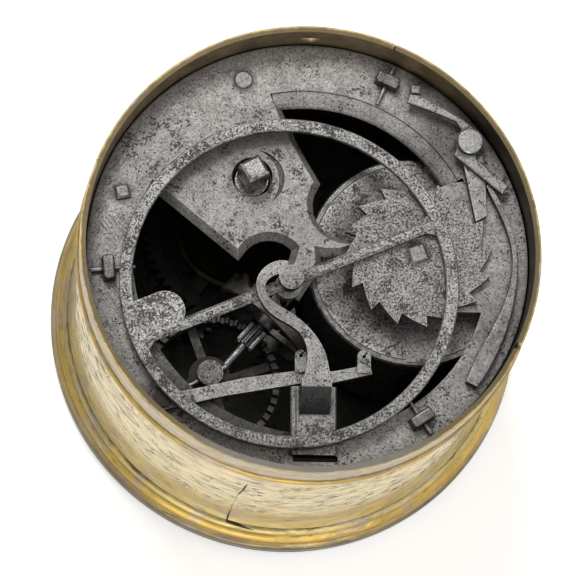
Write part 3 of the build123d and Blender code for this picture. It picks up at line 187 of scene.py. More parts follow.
class Finish:
    """A procedural material under construction, patterned on the piece's own coordinates."""

    def __init__(self, name):
        self.material = bpy.data.materials.new(name)
        self.material.use_nodes = True
        self.tree = self.material.node_tree
        self.shader = self.tree.nodes["Principled BSDF"]
        self.coordinates = self.add("ShaderNodeTexCoord")
        self.place = self.coordinates.outputs["Object"]

    def add(self, kind, **values):
        node = self.tree.nodes.new(kind)
        for key, value in values.items():
            setattr(node, key, value)
        return node

    def feed(self, source, socket):
        """Set a socket to a number or a colour, or link it to another node's output."""
        if isinstance(source, (int, float)):
            socket.default_value = source
        elif isinstance(source, tuple):
            socket.default_value = source if len(source) == len(socket.default_value) else (*source, 1.0)
        else:
            self.tree.links.new(source, socket)

    def noise(self, scale, detail=4.0, roughness=0.6, distortion=0.0, place=None):
        node = self.add("ShaderNodeTexNoise")
        node.inputs["Scale"].default_value = scale
        node.inputs["Detail"].default_value = detail
        node.inputs["Roughness"].default_value = roughness
        node.inputs["Distortion"].default_value = distortion
        self.feed(place or self.place, node.inputs["Vector"])
        return node.outputs["Fac"]

    def cells(self, scale):
        """Distance from scattered points, for separate round pits."""
        node = self.add("ShaderNodeTexVoronoi")
        node.inputs["Scale"].default_value = scale
        self.feed(self.place, node.inputs["Vector"])
        return node.outputs["Distance"]

    def stretch(self, factors, turn=0.0):
        """Coordinates scaled along each axis, after a turn about the drum's axis."""
        node = self.add("ShaderNodeMapping")
        node.inputs["Scale"].default_value = factors
        node.inputs["Rotation"].default_value = (0, 0, math.radians(turn))
        self.feed(self.place, node.inputs["Vector"])
        return node.outputs["Vector"]

    def split(self, vector=None):
        node = self.add("ShaderNodeSeparateXYZ")
        self.feed(vector or self.place, node.inputs["Vector"])
        return node.outputs["X"], node.outputs["Y"], node.outputs["Z"]

    def math(self, operation, a, b=0.0):
        node = self.add("ShaderNodeMath", operation=operation)
        self.feed(a, node.inputs[0])
        self.feed(b, node.inputs[1])
        return node.outputs["Value"]

    def between(self, value, low, high, first=0.0, last=1.0):
        """First below low, last above high, changing evenly between them."""
        node = self.add("ShaderNodeMapRange")
        for key, number in (("From Min", low), ("From Max", high), ("To Min", first), ("To Max", last)):
            node.inputs[key].default_value = number
        self.feed(value, node.inputs["Value"])
        return node.outputs["Result"]

    def distance(self, x, y):
        """Distance from an upright line, in metres."""
        place_x, place_y, _ = self.split()
        across = self.math("SUBTRACT", place_x, x * MM)
        along = self.math("SUBTRACT", place_y, y * MM)
        square = self.math("ADD", self.math("MULTIPLY", across, across), self.math("MULTIPLY", along, along))
        return self.math("SQRT", square)

    def round_shade(self, x, y, near, far, first, last):
        """Factor that changes between two radii round an upright line, with a ragged edge."""
        sway = 0.4 * (far - near) * MM + 0.6 * MM
        ragged = self.math("MULTIPLY", self.math("SUBTRACT", self.noise(190, 4), 0.5), sway)
        reach = self.math("ADD", self.distance(x, y), ragged)
        return self.between(reach, near * MM, far * MM, first, last)

    def around(self, stretch):
        """Coordinates that follow the drum's side, drawn out along it without a seam."""
        x, y, z = self.split()
        reach = self.math("MULTIPLY", self.distance(0, 0), stretch / (CASE_R * MM))
        node = self.add("ShaderNodeCombineXYZ")
        self.feed(self.math("DIVIDE", x, reach), node.inputs["X"])
        self.feed(self.math("DIVIDE", y, reach), node.inputs["Y"])
        self.feed(z, node.inputs["Z"])
        return node.outputs["Vector"]

    def ramp(self, value, stops):
        node = self.add("ShaderNodeValToRGB")
        elements = node.color_ramp.elements
        while len(elements) < len(stops):
            elements.new(0.5)
        for element, (position, colour) in zip(elements, stops):
            element.position = position
            element.color = (*colour, 1.0)
        self.feed(value, node.inputs["Fac"])
        return node.outputs["Color"]

    def blend(self, amount, low, high, kind="MIX"):
        node = self.add("ShaderNodeMix", data_type="RGBA", blend_type=kind)
        self.feed(amount, node.inputs[0])
        self.feed(low, node.inputs[6])
        self.feed(high, node.inputs[7])
        return node.outputs[2]

    def scale(self, colour, factor):
        """Colour made lighter or darker by a factor that varies over the surface."""
        node = self.add("ShaderNodeVectorMath", operation="SCALE")
        self.feed(colour, node.inputs[0])
        self.feed(factor, node.inputs["Scale"])
        return node.outputs["Vector"]

    def upright(self):
        """1 on upright sides, 0 on faces that lie flat."""
        _, _, z = self.split(self.coordinates.outputs["Normal"])
        return self.between(self.math("ABSOLUTE", z), 0.35, 0.8, 1.0, 0.0)

    def corner_shade_and_dirt(self, reach, deepest):
        """Darkening factor for corners and joints: painted shade, and the dirt they hold."""
        node = self.add("ShaderNodeAmbientOcclusion", samples=5)
        node.inputs["Distance"].default_value = reach
        return self.between(node.outputs["AO"], 0.35, 0.95, deepest, 1.0)

    def soft_edges(self, radius):
        node = self.add("ShaderNodeBevel", samples=4)
        node.inputs["Radius"].default_value = radius
        return node.outputs["Normal"]

    def along(self, normal):
        """How far a rounded normal still points along the surface's own one."""
        node = self.add("ShaderNodeVectorMath", operation="DOT_PRODUCT")
        self.feed(normal, node.inputs[0])
        self.feed(self.add("ShaderNodeNewGeometry").outputs["Normal"], node.inputs[1])
        return node.outputs["Value"]

    def relief(self, height, distance, strength=1.0, below=None):
        node = self.add("ShaderNodeBump")
        node.inputs["Strength"].default_value = strength
        node.inputs["Distance"].default_value = distance
        self.feed(height, node.inputs["Height"])
        if below is not None:
            self.feed(below, node.inputs["Normal"])
        return node.outputs["Normal"]

    def end(self, colour, roughness, normal=None, metallic=0.0):
        self.feed(colour, self.shader.inputs["Base Color"])
        self.feed(roughness, self.shader.inputs["Roughness"])
        self.shader.inputs["Metallic"].default_value = metallic
        if normal is not None:
            self.feed(normal, self.shader.inputs["Normal"])
        return self.material


def old_iron(name, light, side=0.30, pitting=0.5, metallic=0.25, marks=(), spots=()):
    """Forged iron: fine grain, clustered black pits, brown dirt, rubbed edges with a painted highlight, and
    painted shade on upright sides and in corners.
    """
    f = Finish(name)
    mottle = f.noise(190, 5, 0.6)
    wide = f.between(f.noise(60, 3, 0.5), 0.40, 0.60, 0.25, 1.0)
    groups = f.math("MULTIPLY", f.between(f.noise(300, 3, 0.6), 0.50, 0.64), wide)
    grain = f.between(f.noise(2700, 3, 0.7), 0.36, 0.64)
    tone = f.ramp(mottle, [(0.32, tuple(v * 0.72 for v in light)), (0.66, light)])
    tone = f.scale(tone, f.between(grain, 0.0, 1.0, 0.74 - 0.22 * pitting, 1.26 + 0.24 * pitting))
    pepper = f.noise(2300, 3, 0.75)
    gathered = f.math("ADD", pepper, f.math("MULTIPLY", groups, 0.12))
    pit = f.between(gathered, 0.680 - 0.10 * pitting, 0.705 - 0.10 * pitting)
    holes = f.math("SUBTRACT", f.cells(1250), f.math("MULTIPLY", groups, 0.30))
    ragged = f.math("MULTIPLY", f.math("SUBTRACT", pepper, 0.5), 0.8)
    hole = f.between(f.math("ADD", holes, ragged), 0.16, 0.09)
    pit = f.math("MAXIMUM", pit, f.math("MULTIPLY", hole, min(1.0, 2.0 * pitting)))
    tone = f.blend(f.math("MULTIPLY", pit, 0.95), tone, DIRT)
    dirt = f.math("MULTIPLY", f.between(f.noise(420, 5, 0.7), 0.50, 0.66), 0.34 + 0.06 * pitting)
    tone = f.blend(dirt, tone, RUST)
    # Rounded edges lightened: rubbed wear, and a painted highlight.
    rounded = f.soft_edges(0.26 * MM)
    rubbed = f.between(f.along(rounded), 0.985, 0.87)
    rubbed = f.math("MULTIPLY", rubbed, f.between(mottle, 0.35, 0.6, 0.30, 0.95))
    tone = f.blend(rubbed, tone, RUBBED_AND_HIGHLIGHT)
    # Painted shade in corners and joints, with their dirt.
    shade = f.corner_shade_and_dirt(0.9 * MM, 0.25)
    # Painted shade: upright sides are darkened by the side factor.
    shade = f.math("MULTIPLY", shade, f.between(f.upright(), 0.0, 1.0, 1.0, side))
    for mark in marks:
        shade = f.math("MULTIPLY", shade, mark(f))
    for spot in spots:
        shade = f.math("MULTIPLY", shade, f.round_shade(*spot))
    tone = f.scale(tone, shade)
    rough = f.between(f.math("ADD", grain, mottle), 0.2, 1.9, 0.58, 0.36)
    height = f.math("SUBTRACT", f.math("MULTIPLY", grain, 0.4), pit)
    normal = f.relief(height, 0.06 * MM, 0.9, rounded)
    return f.end(tone, rough, normal, metallic)


def slot_shade(f):
    """Painted shade: black walls in the slot at the plate's foot, as in deep shadow."""
    x, y, z = f.split()
    across = f.between(f.math("ABSOLUTE", x), 7.5 * MM, 7.0 * MM)
    inside = f.math("MULTIPLY", f.between(y, -38.5 * MM, -38.7 * MM), across)
    low = f.math("MAXIMUM", f.upright(), f.between(z, (PLATE_TOP - 0.05) * MM, (PLATE_TOP - 0.10) * MM))
    return f.between(f.math("MULTIPLY", inside, low), 0.0, 1.0, 1.0, 0.06)


def groove_shade_and_dirt(f):
    """Painted shade and dirt on the floor of the shallow groove beside the winding hole."""
    _, _, z = f.split()
    near = f.between(f.distance(*GROOVE), 7.2 * MM, 6.8 * MM)
    floor = f.math("MULTIPLY", near, f.between(z, (PLATE_TOP - 0.10) * MM, (PLATE_TOP - 0.20) * MM))
    return f.between(floor, 0.0, 1.0, 1.0, 0.30)


def ring_shadow_on_plate(f):
    """Painted shadow of the balance ring on the plate beneath it."""
    reach = f.distance(*BALANCE)
    inner = f.between(reach, 25.5 * MM, 31.2 * MM)
    band = f.math("MULTIPLY", inner, f.between(reach, 33.2 * MM, 31.8 * MM))
    return f.between(band, 0.0, 1.0, 1.0, 0.36)


def foot_shade(f):
    """Painted shade on the plate's inner edge, left of the cock's foot."""
    x, y, _ = f.split()
    edge = f.between(f.distance(0, 0), 38.4 * MM, 37.6 * MM)
    ledge = f.math("MULTIPLY", edge, f.between(x, 1 * MM, -2 * MM))
    return f.between(f.math("MULTIPLY", ledge, f.between(y, -12 * MM, -29 * MM)), 0.0, 1.0, 1.0, 0.20)


def low_ring_shade(f):
    """Painted shade: the balance ring is darker towards the foot of the cock."""
    _, y, _ = f.split()
    return f.between(y, -39 * MM, -22 * MM, 0.68, 1.0)


def post_front_shade(f):
    """Painted shade on the sloping front of the cock's post."""
    _, y, _ = f.split()
    return f.between(y, -27.9 * MM, -28.2 * MM, 1.0, 0.08)


def worn_steel(name, light, dark, rough, metallic=0.8, side=0.45, streaks=None, spots=()):
    """Filed or turned steel with fine wear, rubbed edges with a painted highlight, and painted shade on
    upright sides and in corners.
    """
    f = Finish(name)
    mottle = f.noise(260, 5, 0.6)
    grain = f.between(f.noise(2400, 3, 0.65), 0.36, 0.64)
    place = f.stretch(streaks) if streaks else None
    lines = f.noise(900, 3, 0.6, place=place)
    mixed = f.math("ADD", f.math("MULTIPLY", mottle, 0.5), f.math("MULTIPLY", lines, 0.5))
    tone = f.ramp(mixed, [(0.38, dark), (0.62, light)])
    tone = f.scale(tone, f.between(grain, 0.0, 1.0, 0.66, 1.22))
    pit = f.between(f.noise(1700, 3, 0.7), 0.59, 0.64)
    tone = f.blend(f.math("MULTIPLY", pit, 0.8), tone, DIRT)
    rounded = f.soft_edges(0.2 * MM)
    # Rounded edges lightened: rubbed wear, and a painted highlight.
    tone = f.blend(f.between(f.along(rounded), 0.985, 0.85, 0.0, 0.6), tone, (0.66, 0.65, 0.64))
    # Painted shade in corners and joints, with their dirt, and on upright sides.
    shade = f.math("MULTIPLY", f.corner_shade_and_dirt(0.8 * MM, 0.30), f.between(f.upright(), 0.0, 1.0, 1.0, side))
    for spot in spots:
        shade = f.math("MULTIPLY", shade, f.round_shade(*spot))
    tone = f.scale(tone, shade)
    roughness = f.between(lines, 0.3, 0.7, rough + 0.10, rough - 0.06)
    normal = f.relief(f.math("ADD", lines, grain), 0.02 * MM, 0.6, rounded)
    return f.end(tone, roughness, normal, metallic)


def dark_metal(name, light, dark, rough=0.5, metallic=0.7):
    """Wheels and plates deep inside, painted dark for the shade they lie in."""
    f = Finish(name)
    tone = f.ramp(f.noise(300, 5, 0.65), [(0.35, dark), (0.68, light)])
    grain = f.between(f.noise(2200, 3, 0.65), 0.35, 0.65, 0.6, 1.25)
    tone = f.scale(tone, grain)
    normal = f.relief(f.noise(1500, 3, 0.6), 0.03 * MM, 0.6)
    return f.end(tone, rough, normal, metallic)


def gilding(name):
    """Worn gilding in bands: pale wall, yellow mouldings, grey band, brown inside."""
    f = Finish(name)
    _, _, z = f.split()
    radius = f.distance(0, 0)
    wander = f.math("MULTIPLY", f.math("SUBTRACT", f.noise(110, 3), 0.5), 0.9 * MM)
    height = f.math("ADD", z, wander)
    wall = f.ramp(f.math("DIVIDE", height, CASE_H * MM), [(v / CASE_H, c) for v, c in GILT_BANDS])
    flat = f.around(2.2)
    thin = f.around(6)
    worn = f.between(f.noise(260, 6, 0.62, 0.5, flat), 0.52, 0.60)
    wall = f.blend(f.math("MULTIPLY", worn, 0.60), wall, (0.40, 0.335, 0.28))
    bare = f.between(f.noise(340, 6, 0.65, 0.5, flat), 0.55, 0.63)
    wall = f.blend(f.math("MULTIPLY", bare, 0.55), wall, (0.56, 0.37, 0.085))
    streak = f.noise(1000, 5, 0.68, 0.6, thin)
    wall = f.scale(wall, f.between(streak, 0.32, 0.68, 0.74, 1.22))
    cuts = f.between(f.noise(1500, 4, 0.7, 0.8, f.around(9)), 0.61, 0.65)
    wall = f.blend(f.math("MULTIPLY", cuts, 0.60), wall, (0.13, 0.095, 0.045))
    x, y, _ = f.split()
    low = f.between(z, 12.5 * MM, 9.5 * MM)
    shaded = f.math("MULTIPLY", low, f.between(x, -26 * MM, -46 * MM))
    wall = f.scale(wall, f.between(shaded, 0.0, 1.0, 1.0, 0.62))
    hem = f.math("MULTIPLY", f.between(radius, 49.1 * MM, 49.5 * MM), f.between(y, -15 * MM, -35 * MM))
    wall = f.scale(wall, f.between(hem, 0.0, 1.0, 1.0, 0.50))
    inside = f.between(radius, (INNER_R + 0.8) * MM, (INNER_R + 0.3) * MM)
    brown = f.ramp(f.noise(230, 5, 0.65), [(0.34, (0.095, 0.067, 0.035)), (0.70, (0.220, 0.165, 0.085))])
    brown = f.scale(brown, f.between(x, 24 * MM, 36 * MM, 1.0, 0.16))
    below = f.between(z, (CASE_H - 0.04) * MM, (CASE_H - 0.12) * MM)
    colour = f.blend(f.math("MULTIPLY", inside, below), wall, brown)
    top = f.between(z, (CASE_H - 0.12) * MM, (CASE_H - 0.04) * MM)
    near = f.between(y, -36 * MM, -41 * MM)
    edge_wave = f.math("ADD", radius, f.math("MULTIPLY", f.noise(420, 3), 0.6 * MM))
    edge_wave = f.math("SUBTRACT", edge_wave, f.math("MULTIPLY", near, 0.25 * MM))
    inner_lip = f.math("MULTIPLY", top, f.between(edge_wave, (CASE_R + 0.12) * MM, (CASE_R - 0.18) * MM))
    lip = f.blend(near, (0.100, 0.074, 0.034), (0.155, 0.145, 0.130))
    colour = f.blend(f.math("MULTIPLY", inner_lip, 0.92), colour, lip)
    # Painted shade in corners and joints, with their dirt.
    colour = f.scale(colour, f.corner_shade_and_dirt(0.8 * MM, 0.30))
    rough = f.between(streak, 0.3, 0.7, 0.58, 0.40)
    normal = f.relief(f.math("ADD", streak, f.noise(900, 4, 0.6)), 0.09 * MM, 0.6)
    return f.end(colour, rough, normal, 0.6)


def graver_cut(name, colour):
    """Dark bottom of engraved lines, cracks and scratches."""
    f = Finish(name)
    tone = f.ramp(f.noise(420, 4, 0.6), [(0.35, tuple(v * 0.5 for v in colour)), (0.65, colour)])
    tone = f.scale(tone, f.between(f.noise(60, 3, 0.5), 0.35, 0.65, 0.6, 1.5))
    return f.end(tone, 0.6, f.relief(f.noise(1800, 2), 0.02 * MM, 0.5), 0.3)


def set_stage():
    """Pale floor, white surroundings and soft lamps."""
    scene = bpy.context.scene
    scene.view_settings.view_transform = "Standard"
    world = bpy.data.worlds.new("surroundings")
    scene.world = world
    world.use_nodes = True
    tree = world.node_tree
    tree.nodes["Background"].inputs["Color"].default_value = (1, 1, 1, 1)
    seen = white_rays(tree)
    strength = tree.nodes.new("ShaderNodeMapRange")
    strength.inputs["To Min"].default_value = ROOM_LIGHT
    tree.links.new(seen, strength.inputs["Value"])
    tree.links.new(strength.outputs["Result"], tree.nodes["Background"].inputs["Strength"])
    bpy.ops.mesh.primitive_circle_add(vertices=64, radius=FLOOR_R, fill_type="NGON")
    floor = bpy.context.object
    floor.name = "floor"
    paint = bpy.data.materials.new("floor")
    paint.use_nodes = True
    tree = paint.node_tree
    shader = tree.nodes["Principled BSDF"]
    shader.inputs["Base Color"].default_value = (0.93, 0.93, 0.93, 1)
    shader.inputs["Roughness"].default_value = 0.9
    shader.inputs["Emission Color"].default_value = (1, 1, 1, 1)
    glow = tree.nodes.new("ShaderNodeMath")
    glow.operation = "MULTIPLY"
    glow.inputs[1].default_value = FLOOR_GLOW
    tree.links.new(white_rays(tree), glow.inputs[0])
    tree.links.new(glow.outputs[0], shader.inputs["Emission Strength"])
    floor.data.materials.append(paint)
    for name, (place, size, power) in LAMPS.items():
        lamp = bpy.data.lights.new(name, "AREA")
        lamp.size = size
        lamp.energy = power
        holder = bpy.data.objects.new(name, lamp)
        bpy.context.collection.objects.link(holder)
        holder.location = place
        holder.rotation_euler = (Vector(place) - Vector(LAMPS_AIM)).to_track_quat("Z", "Y").to_euler()


def white_rays(tree):
    """1 for rays that see the surroundings directly, in a reflection or through glass."""
    path = tree.nodes.new("ShaderNodeLightPath")
    total = path.outputs["Is Camera Ray"]
    for name in ("Is Glossy Ray", "Is Transmission Ray"):
        most = tree.nodes.new("ShaderNodeMath")
        most.operation = "MAXIMUM"
        tree.links.new(total, most.inputs[0])
        tree.links.new(path.outputs[name], most.inputs[1])
        total = most.outputs[0]
    return total


def on_wall(arc, z, radius):
    """Point on the drum's side: arc in millimetres at the wall, from the side nearest the camera."""
    angle = arc / CASE_R
    return Vector((radius * math.sin(angle), -radius * math.cos(angle), z)) * MM


def bow(start, end, bend, steps=5):
    """Flat curved stroke between two points, bent sideways by a share of its length."""
    points = []
    run, rise = end[0] - start[0], end[1] - start[1]
    for i in range(steps + 1):
        t = i / steps
        side = 4 * bend * t * (1 - t)
        points.append((start[0] + run * t - rise * side, start[1] + rise * t + run * side))
    return points


def swollen(points, width=1.0):
    """Widths along a stroke that is thin at both ends, as a graver leaves it."""
    last = len(points) - 1
    return [width * (0.35 + 0.65 * math.sin(math.pi * i / last)) for i in range(last + 1)]


def leaf(centre, heading, length, bend):
    """Two curved edges and a middle vein."""
    tip = (centre[0] + length * math.cos(heading), centre[1] + length * math.sin(heading))
    middle = (centre[0] * 0.35 + tip[0] * 0.65, centre[1] * 0.35 + tip[1] * 0.65)
    return [bow(centre, tip, 0.30 + bend), bow(centre, tip, bend - 0.16), bow(centre, middle, bend)]


def scroll(middle, side):
    """One curling branch with leaves along it, above or below the stem."""
    strokes = []
    places = []
    for i in range(37):
        t = i / 36
        angle = math.radians(-115 + 610 * t) * side
        reach = 9.4 * (1 - t) ** 0.85 + 1.0
        places.append((middle[0] + reach * math.cos(angle), middle[1] + reach * math.sin(angle), angle))
    for i in range(0, 36, 4):
        strokes.append([(s, z) for s, z, _ in places[i:i + 5]])
    for i in range(2, 31, 2):
        s, z, angle = places[i]
        size = 3.6 - 0.07 * i
        outwards = angle + side * 0.75
        strokes += leaf((s, z), outwards, size, 0.12 * side)
    for i in range(6):
        angle = math.radians(60 * i + 20)
        petal = (middle[0] + 1.9 * math.cos(angle), middle[1] + 1.9 * math.sin(angle))
        strokes.append(bow(middle, petal, 0.35, 4))
    return strokes


def foliage():
    """Running scroll with six waves round the drum's wall, a common pattern of its time."""
    strokes = []
    wave = ROUND / 6
    low, high = WALL_LOW + 1.0, WALL_TOP - 1.0
    level = (low + high) / 2
    swing = 11.5
    steps = 24
    for k in range(6):
        for offset in (0.0, 0.9):
            line = []
            for i in range(steps + 1):
                s = wave * (k + i / steps)
                line.append((s, level + offset + swing * math.sin(2 * math.pi * i / steps)))
            strokes += [line[i:i + 4] for i in range(0, steps, 3)]
    for k in range(12):
        side = 1 if k % 2 == 0 else -1
        middle = (wave * (k / 2 + 0.25), level - 3.0 * side)
        strokes += scroll(middle, side)
        for i in range(5):
            heading = side * math.radians(30 + 30 * i)
            corner = (wave * (k / 2 + 0.25) + 2.2 * (2 - i), level + side * (swing + 1.6))
            strokes += leaf(corner, heading, 3.4, 0.0)
        hollow = (wave * (k / 2), level + side * 11)
        for i in range(4):
            strokes += leaf(hollow, side * math.radians(45 + 30 * i), 5.0, 0.08)
    return strokes


def ground_strokes(dice, count, low, high, longest):
    """Short, nearly level strokes between the leaves."""
    strokes = []
    for _ in range(count):
        s, z = dice.uniform(0, ROUND), dice.uniform(low, high)
        length = dice.uniform(0.35, 1.0) * longest
        rise = dice.uniform(-0.10, 0.10) * length
        strokes.append(bow((s, z), (s + length, z + rise), dice.uniform(-0.06, 0.06), 4))
    return strokes


def cut_piece(name, strokes, width, finish, body, rings=()):
    """Thin dark lines let into a surface, each a tapered strip of a few faces."""
    curve = bpy.data.curves.new(name, "CURVE")
    curve.dimensions = "3D"
    curve.bevel_depth = width / 2 * MM
    curve.bevel_resolution = 0
    curve.use_fill_caps = True
    for places, widths, closed in strokes:
        line = curve.splines.new("POLY")
        line.points.add(len(places) - 1)
        line.use_cyclic_u = closed
        for point, place, swell in zip(line.points, places, widths):
            point.co = (*place, 1.0)
            point.radius = swell
    holder = bpy.data.objects.new(name + "_line", curve)
    bpy.context.collection.objects.link(holder)
    depsgraph = bpy.context.evaluated_depsgraph_get()
    mesh = bpy.data.meshes.new_from_object(holder.evaluated_get(depsgraph))
    bpy.data.objects.remove(holder)
    form = bmesh.new()
    form.from_mesh(mesh)
    bmesh.ops.recalc_face_normals(form, faces=form.faces)
    form.to_mesh(mesh)
    form.free()
    mesh.name = name
    mesh.materials.clear()
    mesh.materials.append(finish)
    piece = bpy.data.objects.new(name, mesh)
    bpy.context.collection.objects.link(piece)
    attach(piece, body)
    return piece


def wall_lines(flat_strokes, radius, width=1.0):
    """Flat strokes laid on the drum's side."""
    lines = []
    for stroke in flat_strokes:
        places = [on_wall(s, z, radius) for s, z in stroke]
        lines.append((places, swollen(places, width), False))
    return lines


def wall_rings(levels, radius, dice):
    """Level lines round the drum, broken by short gaps."""
    lines = []
    for z in levels:
        s = 0.0
        while s < ROUND:
            length = dice.uniform(8, 26)
            steps = 6
            places = []
            for i in range(steps + 1):
                places.append(on_wall(s + length * i / steps, z + dice.uniform(-0.05, 0.05), radius))
            lines.append((places, swollen(places, 0.8), False))
            s += length + dice.uniform(0.5, 5)
    return lines


def engrave_case(finish, gap):
    """Ornament of the wall, lines along the bead and the crack down to the foot."""
    dice = random.Random(7)
    cut_r = CASE_R - CUT_DEPTH
    cut_piece("wall_ornament", wall_lines(foliage(), cut_r), ORNAMENT_LINE, finish, "case")
    on_ground = ground_strokes(dice, GROUND_COUNT, WALL_LOW + 1, WALL_TOP - 0.5, LONGEST_STROKE)
    on_band = ground_strokes(dice, BAND_COUNT, BAND_LOW + 0.6, CASE_H - 0.8, LONGEST_STROKE)
    ground = wall_lines(on_ground, cut_r, 0.9) + wall_lines(on_band, cut_r, 0.8)
    cut_piece("wall_ground_lines", ground, GROUND_LINE, finish, "case")
    rings = wall_rings(BORDER_LEVELS, cut_r, dice) + wall_rings(FILLET_LEVELS, FILLET_R, dice)
    cut_piece("wall_border_lines", rings, BORDER_LINE, gap, "case")
    lines = []
    for route in (CRACK, GASH):
        places = [on_wall(s, z, radius) for s, z, radius, _ in route]
        lines.append((places, [width for *_, width in route], False))
    cut_piece("wall_crack", lines, CRACK_LINE, gap, "case")


def flat_line(points, z, width=1.0):
    places = [Vector((x, y, z)) * MM for x, y in points]
    return (places, swollen(places, width), False)


def scratch_plate(finish):
    """File marks and scratches on the back plate, and the outline of a plug in the barrel's cover."""
    dice = random.Random(11)
    lines = []
    for x, y, heading, count, length in FILE_MARKS:
        angle = math.radians(heading)
        for i in range(count):
            shift = (i - count / 2) * 0.55
            along = dice.uniform(-0.4, 0.4)
            start = (x - shift * math.sin(angle) + along, y + shift * math.cos(angle))
            end = (start[0] + length * math.cos(angle), start[1] + length * math.sin(angle))
            lines.append(flat_line(bow(start, end, dice.uniform(-0.03, 0.03), 4), PLATE_TOP, 0.7))
    for start, end in LONG_SCRATCHES:
        lines.append(flat_line(bow(start, end, 0.03, 4), PLATE_TOP, 1.4))
    cut_piece("plate_scratches", lines, SCRATCH_LINE, finish, "case")
    corners = [Vector((x, y, COVER_TOP)) * MM for x, y in PLUG_CORNERS]
    cut_piece("cover_plug_outline", [(corners, [1.0] * 4, True)], PLUG_LINE, finish, "barrel")


def bend_click_spring():
    """Blade of the click spring: a merged, flat-shaded copy of the CAD piece, shown in its place."""
    rigid = frame["nodes"]["click_spring"]
    mesh = rigid.data.copy()
    mesh.name = "click_spring_blade"
    form = bmesh.new()
    form.from_mesh(mesh)
    bmesh.ops.remove_doubles(form, verts=form.verts, dist=0.0005 * MM)
    form.to_mesh(mesh)
    form.free()
    for face in mesh.polygons:
        face.use_smooth = False
    blade = bpy.data.objects.new("click_spring_blade", mesh)
    bpy.context.collection.objects.link(blade)
    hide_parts("click_spring")
    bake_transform(blade)


def plain_finishes():
    """Finishes by material, for every piece without one of its own."""
    return {
        "gilt": gilding("worn_gilding"),
        "brass": worn_steel("old_brass", (0.42, 0.30, 0.12), (0.20, 0.13, 0.05), 0.40),
        "silvered": worn_steel("silvering", (0.62, 0.60, 0.54), (0.40, 0.37, 0.30), 0.42),
        "iron": old_iron("pitted_iron", (0.38, 0.365, 0.35), 0.28, 0.7),
        "steel": worn_steel("filed_steel", (0.32, 0.315, 0.31), (0.14, 0.135, 0.13), 0.34, 0.6),
        "blued": worn_steel("blued_steel", (0.05, 0.07, 0.13), (0.02, 0.03, 0.06), 0.3),
    }


def forged_finishes():
    """Finishes of the iron pieces on the back plate."""
    plate_marks = (slot_shade, groove_shade_and_dirt, ring_shadow_on_plate, foot_shade)
    rubbed = old_iron("rubbed_iron", (0.37, 0.36, 0.345), 0.16, 0.6, 0.4, (), CLICK_SPOTS)
    cover = old_iron("cover_iron", (0.44, 0.42, 0.40), 0.5, 1.1, 0.3, (), COVER_SHADOW_AND_SHEEN_SPOTS)
    cock = old_iron("cock_iron", (0.33, 0.32, 0.31), 0.10, 0.8, 0.5, (post_front_shade,), NECK_SHADE_SPOTS)
    plate = old_iron("plate_iron", (0.415, 0.395, 0.375), 0.22, 0.62, 0.25, plate_marks, PLATE_SPOTS)
    ring = old_iron("ring_iron", (0.43, 0.42, 0.405), 0.16, 1.35, 0.35, (low_ring_shade,), TAB_SPOTS)
    return {
        "back_plate": plate,
        "balance_wheel": ring,
        "ratchet_wheel": old_iron("ratchet_iron", (0.37, 0.352, 0.335), 0.16, 1.25, 0.3, (), RATCHET_SHADOW_SPOTS),
        "barrel_cover": cover,
        "cock_base": old_iron("foot_iron", (0.33, 0.32, 0.31), 0.3, 1.0, 0.3, (slot_shade,)),
        "balance_cock": cock,
        "click": rubbed,
        "click_lever": rubbed,
        "bristle_arm": old_iron("arm_iron", (0.36, 0.35, 0.34), 0.16, 0.6, 0.4, (), BRISTLE_SPOTS),
        "crown_stud": old_iron("stud_iron", (0.22, 0.21, 0.20), 0.3, 1.2, 0.3),
    }


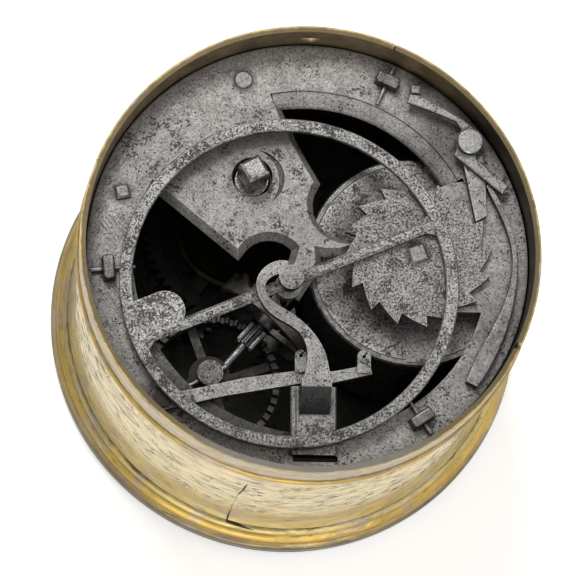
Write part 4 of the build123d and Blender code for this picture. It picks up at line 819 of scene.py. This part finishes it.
def steel_finishes():
    """Finishes of the filed and turned steel pieces."""
    spring = worn_steel("spring_steel", (0.36, 0.35, 0.34), (0.13, 0.125, 0.12), 0.26, 0.85, 0.08)
    winding = worn_steel("winding_steel", (0.50, 0.49, 0.48), (0.15, 0.13, 0.12), 0.22, 0.85, 0.80)
    side = worn_steel("barrel_side", (0.30, 0.29, 0.28), (0.08, 0.078, 0.075), 0.30, 0.85, 0.9, (1, 1, 0.06))
    return {
        "click_stud": worn_steel("stud_head", (0.42, 0.41, 0.40), (0.24, 0.23, 0.22), 0.28, 0.7, 0.12),
        "click_spring": spring,
        "barrel_arbor": worn_steel("arbor_square", (0.36, 0.35, 0.34), (0.18, 0.17, 0.165), 0.34, 0.5, 0.12),
        "barrel_drum": side,
        "fusee_arbor": winding,
        "pillars": worn_steel("pillar_iron", (0.24, 0.23, 0.22), (0.08, 0.075, 0.07), 0.36, 0.7, 0.3),
    }


def deep_finishes():
    """Finishes of the pieces between the plates, painted dark for the shade they lie in."""
    finishes = {
        "bristle_pivot": dark_metal("pivot_deep_shade", (0.060, 0.045, 0.038), (0.018, 0.013, 0.011), 0.8, 0.0),
        "contrate_wheel": dark_metal("contrate_iron", (0.12, 0.11, 0.10), (0.030, 0.027, 0.024)),
        "crown_wheel": dark_metal("crown_iron", (0.15, 0.14, 0.13), (0.04, 0.036, 0.033)),
        "crown_potence": dark_metal("potence_iron", (0.030, 0.027, 0.024), (0.010, 0.009, 0.008), 0.7, 0.2),
        "fusee_cone": dark_metal("fusee_iron", (0.11, 0.095, 0.06), (0.03, 0.026, 0.016), 0.4, 0.8),
    }
    # Dark tone that stands for the shade deep inside the case.
    deep_shade = dark_metal("deep_shade_iron", (0.045, 0.042, 0.037), (0.013, 0.012, 0.010))
    for node in (
        "front_plate", "great_wheel", "intermediate_wheel", "hour_wheel",
        "verge_potence", "mainspring", "intermediate_cock",
    ):
        finishes[node] = deep_shade
    return finishes


def dress(finishes):
    """Give every CAD node its own finish, or that of its material slot."""
    for row in frame["record"]["subparts"]:
        node = row["node"]
        thing = frame["nodes"][node]
        thing.data.materials.clear()
        thing.data.materials.append(finishes.get(node) or finishes[row["material_slot"]])


place_camera()
set_stage()
dress({**plain_finishes(), **forged_finishes(), **steel_finishes(), **deep_finishes()})
engrave_case(graver_cut("engraved_lines", ENGRAVING), graver_cut("open_crack", BLACK_GAP))
bend_click_spring()
scratch_plate(graver_cut("scratched_iron", SCRATCHED))
